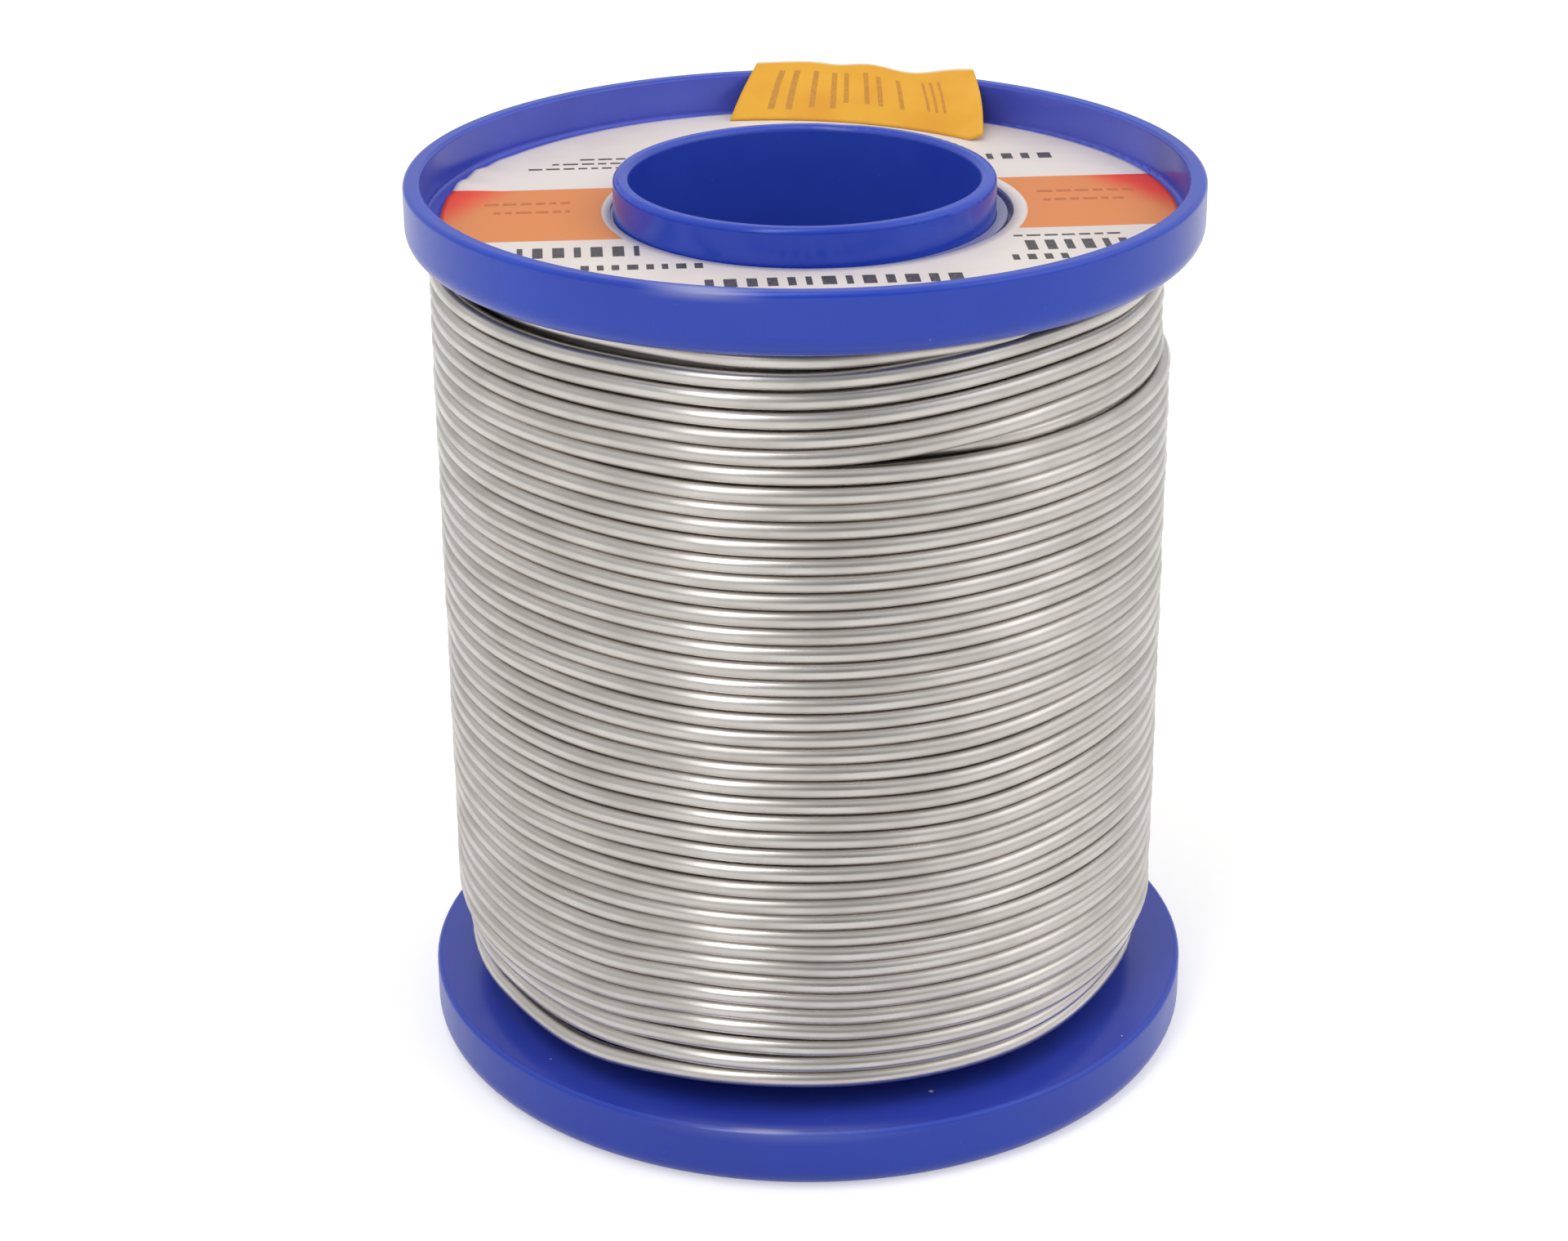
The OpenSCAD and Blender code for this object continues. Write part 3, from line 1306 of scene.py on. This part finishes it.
        # The map's first value goes out and back, so that it has no seam
        along = reach * np.minimum(angle, 2 * math.pi - angle)
        uv = np.stack([along, level], axis=-1).reshape(-1, 2)
        total = len(rows)
        faces = []
        for k in range(total):
            a, b = k * around, ((k + 1) % total) * around
            for i in range(around):
                j = (i + 1) % around
                faces.append((a + i, b + i, b + j, a + j))
        return new_piece("wire_core", points, faces, finish, uv)

    def build(self) -> None:
        """Builds the wire in place of the CAD's winding."""
        finish = self.finish.make()
        outer, under = self.layers()
        outer_wire = outer.build(finish)
        under_wire = under.build(finish)
        core = self.build_core(finish)
        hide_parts("wire_outer_layer")
        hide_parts("wire_inner_layers")
        for piece in (outer_wire, under_wire, core):
            LOG.info("%s: %d faces", piece.name, len(piece.data.polygons))


# ---------------------------------------------------------------- the label


@dataclass(frozen=True)
class Line:
    """One line of a text block, drawn as plain bars: where it starts and how long it is.

    The bars' widths are drawn round a value: the one that is given, or else how tall they are.
    Dark lines are in black ink, and the others in a deeper shade of the band's. Sizes are in
    millimetres.
    """

    x: float
    y: float
    length: float
    tall: float
    dark: bool = True
    wide: float = 0.0


@dataclass
class Label:
    """The round paper label in the upper flange's recess, with plain bars for its text."""

    low: float
    high: float
    radius: float
    middle: tuple[float, float]
    hole_radius: float = 17.3
    hole_middle: tuple[float, float] = (0.6, 0.5)
    turn: float = PRINT_TURN
    # Points round the disc and from its hole to its edge, which crowd a little to the edge
    ring_steps: int = 180
    radial_steps: int = 30
    crowding: float = 0.8
    # Creases at the edge: their middle and spread in degrees, how far in they reach, how
    # high they lift the paper, how high they ripple, and their ripples in a whole turn
    crease_side: float = 163.0
    crease_spread: float = 11.0
    crease_reach: float = 4.5
    crease_lift: float = 0.3
    ripple_lift: float = 0.16
    ripples: float = 46.0
    # Low waves all over: their height, their phase in radians, and how fast they go to the
    # right and to the back, in radians to a millimetre
    wave_lift: float = 0.015
    wave_start: float = 0.9
    wave_across: float = 0.32
    wave_back: float = 0.27
    # The bars: their ink's thickness, the length of a piece that follows the paper, the
    # paper kept bare at its edges, and the narrowest bar that is laid
    ink_mm: float = 0.02
    ink_step: float = 0.5
    bare_edge: float = 0.4
    narrowest: float = 0.3
    # A bar's usual width is at least this where its line gives none, and its own width is
    # drawn between these times the usual one
    least_wide: float = 0.8
    wide_range: tuple[float, float] = (0.7, 1.7)
    # The gap after a bar, as a share of how tall it is, within limits
    word_gap: float = 0.5
    gap_limits: tuple[float, float] = (0.7, 1.6)
    seed: int = 5
    finish: PrintedPaper = field(default_factory=PrintedPaper)
    ink: PrintingInk = field(
        default_factory=lambda: PrintingInk("black_label_ink", "#423d40", "#6e686a")
    )
    band_ink: PrintingInk = field(
        default_factory=lambda: PrintingInk("band_label_ink", "#c87440", "#dd8448")
    )
    lines: tuple[Line, ...] = (
        # Upper left: small print
        Line(-24.6, 12.4, 9.5, 0.42),
        Line(-22.6, 14.0, 8.0, 0.42),
        Line(-20.2, 15.6, 6.5, 0.42),
        # Upper right: one short row
        Line(16.4, 16.0, 6.6, 1.7, wide=0.75),
        # On the band, both sides
        Line(-27.6, 1.6, 8.0, 0.6, False),
        Line(-26.6, -0.9, 6.5, 0.6, False),
        Line(20.2, 4.9, 8.5, 0.6, False),
        Line(20.6, 2.4, 7.0, 0.6, False),
        # Front left
        Line(-23.7, -12.5, 15.0, 2.7, wide=0.62),
        Line(-18.2, -16.5, 13.2, 1.3, wide=0.6),
        # Front
        Line(-8.0, -20.6, 21.8, 2.1, wide=0.7),
        # Front right
        Line(17.4, -8.1, 9.6, 0.4),
        Line(18.3, -10.7, 9.4, 2.6, wide=0.62),
        Line(17.0, -14.0, 4.6, 1.4, wide=0.5),
    )

    def lift(self, x: np.ndarray, y: np.ndarray) -> np.ndarray:
        """Tells how far the paper stands off the flange.

        Args:
            x: Places to the right, in millimetres.
            y: Places to the back, in millimetres.

        Returns:
            Heights over the flange, in millimetres.
        """
        radius = np.hypot(x - self.middle[0], y - self.middle[1])
        side = np.degrees(np.arctan2(y, x))
        # The edge stands up in small creases at the left, and lies nearly flat elsewhere
        aside = (side - self.crease_side + 180.0) % 360.0 - 180.0
        creased = np.exp(-(aside / self.crease_spread) ** 2)
        edge = smooth_step(self.radius - self.crease_reach, self.radius, radius)
        ripple = self.ripple_lift * np.sin(np.radians(side) * self.ripples)
        creases = edge * creased * (self.crease_lift + ripple)
        across = np.sin(self.wave_across * x + self.wave_start)
        waves = self.wave_lift * (1.0 + across * np.sin(self.wave_back * y))
        return creases + waves

    def build_sheet(self) -> bpy.types.Object:
        """Builds the paper disc with its off-centre hole.

        Returns:
            The disc's object.
        """
        angle = np.linspace(0.0, 2.0 * math.pi, self.ring_steps + 1)[:-1]
        share = np.linspace(0.0, 1.0, self.radial_steps) ** self.crowding
        reach = (self.hole_radius + (self.radius - self.hole_radius) * share)[:, None]
        shift = [
            (hole + (edge - hole) * share)[:, None]
            for hole, edge in zip(self.hole_middle, self.middle)
        ]
        x = (shift[0] + reach * np.cos(angle)[None, :]).ravel()
        y = (shift[1] + reach * np.sin(angle)[None, :]).ravel()
        lift = self.lift(x, y)
        top = np.stack([x, y, self.high + lift], axis=1)
        under = np.stack([x, y, self.low + lift], axis=1)
        points = np.concatenate([top, under])
        around, rows = self.ring_steps, self.radial_steps
        half = around * rows
        faces = []
        for k in range(rows - 1):
            a, b = k * around, (k + 1) * around
            for i in range(around):
                j = (i + 1) % around
                faces.append((a + i, b + i, b + j, a + j))
                faces.append((half + a + i, half + a + j, half + b + j, half + b + i))
        last = (rows - 1) * around
        for i in range(around):
            j = (i + 1) % around
            faces.append((i, j, half + j, half + i))
            faces.append((last + j, last + i, half + last + i, half + last + j))
        piece = new_piece(
            "paper_label", points, faces, self.finish.make(),
            flat_faces=2 * around,
        )
        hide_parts("label")
        return piece

    def build_bars(self, name: str, dark: bool, ink: PrintingInk) -> bpy.types.Object:
        """Builds the plain bars of one ink, as thin slips that follow the paper.

        Args:
            name: The piece's name.
            dark: Which of the lines it takes.
            ink: The ink's finish.

        Returns:
            The bars' object.
        """
        draw = np.random.default_rng(self.seed)
        turn = math.radians(self.turn)
        ahead = np.array([math.cos(turn), math.sin(turn)])
        up = np.array([-math.sin(turn), math.cos(turn)])
        points: list[np.ndarray] = []
        faces: list[tuple[int, ...]] = []
        for line in self.lines:
            if line.dark is not dark:
                continue
            wide = line.wide or max(line.tall, self.least_wide)
            gap = self.word_gap * min(max(line.tall, self.gap_limits[0]), self.gap_limits[1])
            at = 0.0
            while at < line.length:
                word = min(draw.uniform(*self.wide_range) * wide, line.length - at)
                columns = max(2, int(word / self.ink_step) + 1)
                grid = []
                for row in (-0.5, 0.5):
                    for step in np.linspace(at, at + word, columns):
                        grid.append(
                            np.array([line.x, line.y]) + ahead * step + up * row * line.tall
                        )
                flat = np.array(grid)
                reach = np.hypot(flat[:, 0] - self.middle[0], flat[:, 1] - self.middle[1])
                inside = reach.max() < self.radius - self.bare_edge
                outside = reach.min() > self.hole_radius + self.bare_edge
                if inside and outside and word > self.narrowest:
                    level = self.high + self.lift(flat[:, 0], flat[:, 1])
                    start = sum(len(part) for part in points)
                    top = np.column_stack([flat, level + self.ink_mm])
                    under = np.column_stack([flat, level])
                    points.append(np.concatenate([top, under]))
                    faces.extend(
                        tuple(start + i for i in face) for face in sheet_faces(2, columns)
                    )
                at += word + gap
        return new_piece(
            name, np.concatenate(points), faces, ink.make(), flat_faces=len(faces)
        )

    def build(self) -> None:
        """Builds the label."""
        for piece in (
            self.build_sheet(),
            self.build_bars("label_bars", True, self.ink),
            self.build_bars("band_bars", False, self.band_ink),
        ):
            LOG.info("%s: %d faces", piece.name, len(piece.data.polygons))


# ---------------------------------------------------------------- the price sticker


@dataclass(frozen=True)
class Dip:
    """A dip in the sticker's top edge: its depth, and its middle and spread in shares."""

    depth_mm: float
    middle: float
    spread: float


@dataclass(frozen=True)
class Stroke:
    """A bar on the sticker: its sides and its ends, in shares of the width and height."""

    left: float
    right: float
    low: float
    high: float


@dataclass
class PriceSticker:
    """The paper sticker that leans from the label over the rim, with faded plain bars."""

    foot_z: float
    rim_z: float
    rim_inner: float
    # Rounding of the rim's edge, and the sticker's thickness and distance off it
    rim_round: float = 0.35
    thick: float = 0.14
    clear: float = 0.07
    # How far inside the rim its foot stands at the left and at the right
    foot_left: float = 3.2
    foot_right: float = 6.8
    # Its middle to the right of the back, half its top's width, and how much wider its foot
    # is at each side, in degrees
    turn: float = 10.0
    half: float = 17.6
    flare_left: float = 6.1
    flare_right: float = 11.4
    # How far it stands over the rim, and what its top edge dips
    rise: float = 0.9
    dips: tuple[Dip, ...] = (Dip(0.25, 0.38, 0.1), Dip(0.62, 0.72, 0.17))
    # The foot's round right corner: where it starts, and the share of the height it takes
    corner_start: float = 0.9
    corner_cut: float = 0.1
    # The bow between the label and the rim, and the share of the height where it ends
    bow_mm: float = 0.22
    bow_end: float = 0.8
    columns: int = 49
    rows: int = 25
    ink_mm: float = 0.012
    stroke_rows: int = 8
    stroke_columns: int = 5
    strokes: tuple[Stroke, ...] = (
        Stroke(0.120, 0.145, 0.16, 0.84),
        Stroke(0.185, 0.210, 0.16, 0.84),
        Stroke(0.270, 0.292, 0.20, 0.84),
        Stroke(0.350, 0.372, 0.20, 0.84),
        Stroke(0.402, 0.422, 0.30, 0.84),
        Stroke(0.485, 0.505, 0.30, 0.84),
        Stroke(0.540, 0.560, 0.28, 0.80),
        Stroke(0.630, 0.650, 0.28, 0.80),
        Stroke(0.750, 0.762, 0.30, 0.82),
        Stroke(0.785, 0.797, 0.30, 0.82),
        Stroke(0.820, 0.832, 0.30, 0.82),
    )
    finish: StickerPaper = field(default_factory=StickerPaper)
    ink: PrintingInk = field(
        default_factory=lambda: PrintingInk("faded_sticker_ink", "#cf9030", "#e6a030")
    )

    def place(self, across: np.ndarray, up: np.ndarray, off: float) -> np.ndarray:
        """Gives points on the sticker.

        Args:
            across: Shares of its width, from the left.
            up: Shares of its height, from the foot.
            off: Distance off its under side, in millimetres.

        Returns:
            The points, in millimetres.
        """
        foot_r = self.rim_inner - (
            self.foot_left + (self.foot_right - self.foot_left) * across
        )
        run = self.rim_inner + self.rim_round - foot_r
        climb = self.rim_z - self.rim_round - self.foot_z
        slope = np.arctan2(climb, run) + np.arcsin(
            (self.rim_round + self.clear) / np.hypot(run, climb)
        )
        dips = sum(
            dip.depth_mm * np.exp(-(((across - dip.middle) / dip.spread) ** 2))
            for dip in self.dips
        )
        length = (self.rim_z + self.rise - dips - self.thick - self.foot_z) / np.sin(slope)
        corner = smooth_step(self.corner_start, 1.0, across) ** 2 * self.corner_cut
        share = corner + (1.0 - corner) * up
        bow = self.bow_mm * np.sin(math.pi * np.clip(share / self.bow_end, 0.0, 1.0))
        radius = foot_r + np.cos(slope) * length * share - np.sin(slope) * (off + bow)
        height = self.foot_z + np.sin(slope) * length * share + np.cos(slope) * (off + bow)
        foot_side = (
            self.turn - self.half - self.flare_left
            + (2 * self.half + self.flare_left + self.flare_right) * across
        )
        top_side = self.turn + self.half * (2.0 * across - 1.0)
        side = np.radians(foot_side + (top_side - foot_side) * share)
        return np.stack([radius * np.sin(side), radius * np.cos(side), height], axis=-1)

    def slip(
        self, area: Stroke, under: float, over: float, rows: int, columns: int
    ) -> tuple[np.ndarray, np.ndarray, list[tuple[int, ...]]]:
        """Gives the points, places and faces of a thin slip of the sticker's surface.

        Args:
            area: The part of the surface that it covers.
            under: Distance of its under side off the sticker's under side, in millimetres.
            over: Distance of its upper side, in millimetres.
            rows: Rows of points.
            columns: Points in a row.

        Returns:
            The points, each point's shares of the width and height, and the faces.
        """
        up, across = np.meshgrid(
            np.linspace(area.low, area.high, rows),
            np.linspace(area.left, area.right, columns),
            indexing="ij",
        )
        top = self.place(across.ravel(), up.ravel(), over)
        bottom = self.place(across.ravel(), up.ravel(), under)
        shares = np.tile(np.column_stack([across.ravel(), up.ravel()]), (2, 1))
        return np.concatenate([top, bottom]), shares, sheet_faces(rows, columns)

    def build_sheet(self) -> bpy.types.Object:
        """Builds the sticker's paper in place of the CAD's.

        Returns:
            The sticker's object.
        """
        points, shares, faces = self.slip(
            Stroke(0.0, 1.0, 0.0, 1.0), 0.0, self.thick, self.rows, self.columns
        )
        edges = 2 * (self.rows + self.columns) - 4
        sticker = new_piece(
            "orange_sticker", points, faces, self.finish.make(), shares,
            flat_faces=edges,
        )
        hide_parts("price_sticker")
        return sticker

    def build_bars(self) -> bpy.types.Object:
        """Builds the faded bars, as thin slips that follow the paper.

        Returns:
            The bars' object.
        """
        points: list[np.ndarray] = []
        faces: list[tuple[int, ...]] = []
        for stroke in self.strokes:
            bar, _, bar_faces = self.slip(
                stroke, self.thick, self.thick + self.ink_mm, self.stroke_rows,
                self.stroke_columns,
            )
            start = sum(len(part) for part in points)
            points.append(bar)
            faces.extend(tuple(start + i for i in face) for face in bar_faces)
        return new_piece(
            "sticker_bars", np.concatenate(points), faces, self.ink.make(),
            flat_faces=len(faces),
        )

    def build(self) -> None:
        """Builds the sticker and the bars on it."""
        for piece in (self.build_sheet(), self.build_bars()):
            LOG.info("%s: %d faces", piece.name, len(piece.data.polygons))


# ---------------------------------------------------------------- the studio


@dataclass(frozen=True)
class Glow:
    """A soft bright or dark area of the studio's surroundings.

    Its middle is given by the side, in degrees from the front to the right, and the height
    over the horizon in degrees. Its strength is added to the surroundings' own, and fades to
    about a third at its reach, in degrees.
    """

    side: float
    height: float
    reach: float
    strength: float

    def sharpness(self) -> float:
        """Gives the factor on one less the cosine from the middle."""
        return 1.0 / (1.0 - math.cos(math.radians(self.reach)))


@dataclass
class Studio:
    """A white paper floor, a pale room, a strip lamp and the camera."""

    surround: float = 0.52
    glows: tuple[Glow, ...] = (
        Glow(10.0, 18.0, 22.0, -0.34),
        Glow(76.0, 40.0, 24.0, 1.05),
        Glow(-60.0, 50.0, 30.0, 0.10),
        Glow(-130.0, 45.0, 34.0, 0.26),
        Glow(130.0, 45.0, 34.0, 0.34),
    )
    # A tall strip lamp that faces the spool from above, at the front left, in degrees,
    # metres and watts
    lamp_side: float = -25.5
    lamp_lift: float = 58.0
    lamp_distance: float = 0.9
    lamp_width: float = 0.19
    lamp_length: float = 1.3
    lamp_power: float = 2.15
    # A small brighter spot in front of the strip
    spot_size: float = 0.07
    spot_power: float = 0.16
    spot_nearer: float = 0.02
    # Matt white backdrop paper: its soft grain leaves the floor even and without a shine
    floor_paper: str = "matt_white_backdrop_paper"
    floor_colour: str = "#e6e4e2"
    floor_pale_colour: str = "#ecebea"
    floor_roughness: float = 0.4
    # The grain's count in a metre, the floor's side in metres and its depth under the rim
    floor_grain: float = 900.0
    floor_size: float = 6.0
    floor_drop_mm: float = 0.02
    # Light that the floor gives to the camera, and to shiny surfaces
    floor_glow: float = 0.45
    floor_glossy_glow: float = 0.26
    # The nearest and farthest that the camera sees, in metres
    clip_start: float = 0.01
    clip_end: float = 20.0
    # The camera's place in millimetres, its three turns in radians, its focal length and
    # the middle of its view in pixels
    camera_at: tuple[float, float, float] = (0.0, -269.78, 157.18)
    camera_down: float = 0.41482
    camera_yaw: float = -0.00932
    camera_roll: float = -0.00813
    camera_focal: float = 3994.4
    camera_middle: tuple[float, float] = (953.44, 753.42)

    def build_camera(self) -> None:
        """Places the camera."""
        yaw, down, roll = self.camera_yaw, self.camera_down, self.camera_roll
        right = Vector((math.cos(yaw), -math.sin(yaw), 0.0))
        ahead_level = Vector((math.sin(yaw), math.cos(yaw), 0.0))
        above = Vector((0.0, 0.0, 1.0))
        ahead = math.cos(down) * ahead_level - math.sin(down) * above
        up = math.sin(down) * ahead_level + math.cos(down) * above
        camera_right = math.cos(roll) * right + math.sin(roll) * up
        camera_up = math.cos(roll) * up - math.sin(roll) * right
        data = bpy.data.cameras.new("camera")
        data.sensor_fit = "HORIZONTAL"
        data.sensor_width = SENSOR_WIDTH_MM
        data.lens = self.camera_focal / IMAGE_WIDTH * SENSOR_WIDTH_MM
        data.shift_x = (0.5 * IMAGE_WIDTH - self.camera_middle[0]) / IMAGE_WIDTH
        data.shift_y = -(0.5 * IMAGE_HEIGHT - self.camera_middle[1]) / IMAGE_WIDTH
        data.clip_start = self.clip_start
        data.clip_end = self.clip_end
        camera = bpy.data.objects.new("camera", data)
        columns = (camera_right, camera_up, -ahead)
        turn = Matrix([[column[row] for column in columns] for row in range(3)])
        camera.matrix_world = Matrix.Translation(Vector(self.camera_at) * MM) @ turn.to_4x4()
        bpy.context.scene.collection.objects.link(camera)
        bpy.context.scene.camera = camera

    def build_world(self) -> None:
        """Builds the pale room: one level, with soft bright and dark areas."""
        world = bpy.data.worlds.new("studio")
        world.use_nodes = True
        bpy.context.scene.world = world
        tree = world.node_tree
        tree.nodes.clear()
        view = add_node(tree, "TexCoord").outputs["Generated"]
        level = None
        for glow in self.glows:
            middle = direction(glow.side, glow.height)
            cosine = add_node(
                tree, "VectorMath", {0: view, 1: middle}, operation="DOT_PRODUCT"
            ).outputs["Value"]
            away = add_node(tree, "Math", {0: cosine, 1: 1.0}, operation="SUBTRACT").outputs[0]
            power = add_node(
                tree, "Math", {0: away, 1: glow.sharpness()}, operation="MULTIPLY"
            ).outputs[0]
            fade = add_node(tree, "Math", {0: power}, operation="EXPONENT").outputs[0]
            level = add_node(
                tree,
                "Math",
                {0: fade, 1: glow.strength, 2: self.surround if level is None else level},
                operation="MULTIPLY_ADD",
            ).outputs[0]
        seen = add_node(tree, "LightPath").outputs["Is Camera Ray"]
        strength = add_node(tree, "Mix", {"Factor": seen, "A": level, "B": 1.0}, data_type="FLOAT")
        background = add_node(
            tree,
            "Background",
            {"Color": (1.0, 1.0, 1.0, 1.0), "Strength": strength.outputs["Result"]},
        )
        add_node(tree, "OutputWorld", {"Surface": background.outputs[0]})

    def build_lamp(self) -> None:
        """Sets up the strip lamp, with its brighter spot."""
        axis = Vector(direction(self.lamp_side, self.lamp_lift))
        for name, width, length, power, nearer in (
            ("strip_lamp", self.lamp_width, self.lamp_length, self.lamp_power, 0.0),
            ("spot", self.spot_size, self.spot_size, self.spot_power, self.spot_nearer),
        ):
            data = bpy.data.lights.new(name, "AREA")
            data.shape = "RECTANGLE"
            data.size = width
            data.size_y = length
            data.energy = power
            lamp = bpy.data.objects.new(name, data)
            lamp.location = axis * (self.lamp_distance - nearer)
            lamp.rotation_euler = axis.to_track_quat("Z", "Y").to_euler()
            bpy.context.scene.collection.objects.link(lamp)

    def build_floor(self) -> None:
        """Lays the white paper floor, which keeps the spool's shadow."""
        material, tree = new_material(self.floor_paper)
        place = add_node(tree, "TexCoord").outputs["Object"]
        grain = add_node(
            tree, "TexNoise", {"Vector": place, "Scale": self.floor_grain, "Detail": 3.0}
        )
        colour = add_node(
            tree,
            "Mix",
            {
                "Factor": grain.outputs["Fac"],
                "A": linear(self.floor_colour),
                "B": linear(self.floor_pale_colour),
            },
            data_type="RGBA",
        )
        paper = add_node(
            tree,
            "BsdfDiffuse",
            {"Color": colour.outputs["Result"], "Roughness": self.floor_roughness},
        )
        path = add_node(tree, "LightPath").outputs
        shiny = add_node(
            tree,
            "Math",
            {0: path["Is Glossy Ray"], 1: path["Is Transmission Ray"]},
            operation="MAXIMUM",
        ).outputs[0]
        shiny_glow = add_node(
            tree, "Math", {0: shiny, 1: self.floor_glossy_glow}, operation="MULTIPLY"
        ).outputs[0]
        glow = add_node(
            tree,
            "Math",
            {0: path["Is Camera Ray"], 1: self.floor_glow, 2: shiny_glow},
            operation="MULTIPLY_ADD",
        )
        light = add_node(
            tree, "Emission", {"Color": (1.0, 1.0, 1.0, 1.0), "Strength": glow.outputs[0]}
        )
        both = add_node(tree, "AddShader", {0: paper.outputs[0], 1: light.outputs[0]})
        add_node(tree, "OutputMaterial", {"Surface": both.outputs[0]})
        half = 0.5 * self.floor_size
        mesh = bpy.data.meshes.new("floor")
        mesh.from_pydata(
            [(-half, -half, 0.0), (half, -half, 0.0), (half, half, 0.0), (-half, half, 0.0)],
            [],
            [(0, 1, 2, 3)],
        )
        mesh.materials.append(material)
        floor = bpy.data.objects.new("floor", mesh)
        floor.location.z = -self.floor_drop_mm * MM
        bpy.context.scene.collection.objects.link(floor)

    def build(self) -> None:
        """Sets up the studio."""
        self.build_camera()
        self.build_world()
        self.build_lamp()
        self.build_floor()
        bpy.context.scene.view_settings.view_transform = "Standard"
        LOG.info("studio: ready")


# ---------------------------------------------------------------- the whole spool


def main() -> None:
    """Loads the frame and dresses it."""
    logging.basicConfig(level=logging.INFO, format="%(name)s: %(message)s")
    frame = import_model()
    nodes = frame["nodes"]
    upper_low, upper_high = (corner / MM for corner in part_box("upper_flange"))
    label_low, label_high = (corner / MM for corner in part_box("label"))
    core_low, core_high = (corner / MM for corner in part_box("wire_inner_layers"))

    Studio().build()
    Reel(nodes).dress()
    Winding(
        flange_face=upper_low.z,
        low=core_low.z,
        high=core_high.z,
        inner=WINDING_INNER,
    ).build()
    Label(
        low=label_low.z,
        high=label_high.z,
        radius=0.5 * (label_high.x - label_low.x),
        middle=(0.5 * (label_low.x + label_high.x), 0.5 * (label_low.y + label_high.y)),
    ).build()
    PriceSticker(
        foot_z=label_high.z + STICKER_GAP,
        rim_z=upper_high.z,
        rim_inner=upper_high.x - RIM_THICK,
    ).build()


if __name__ == "__main__":
    main()
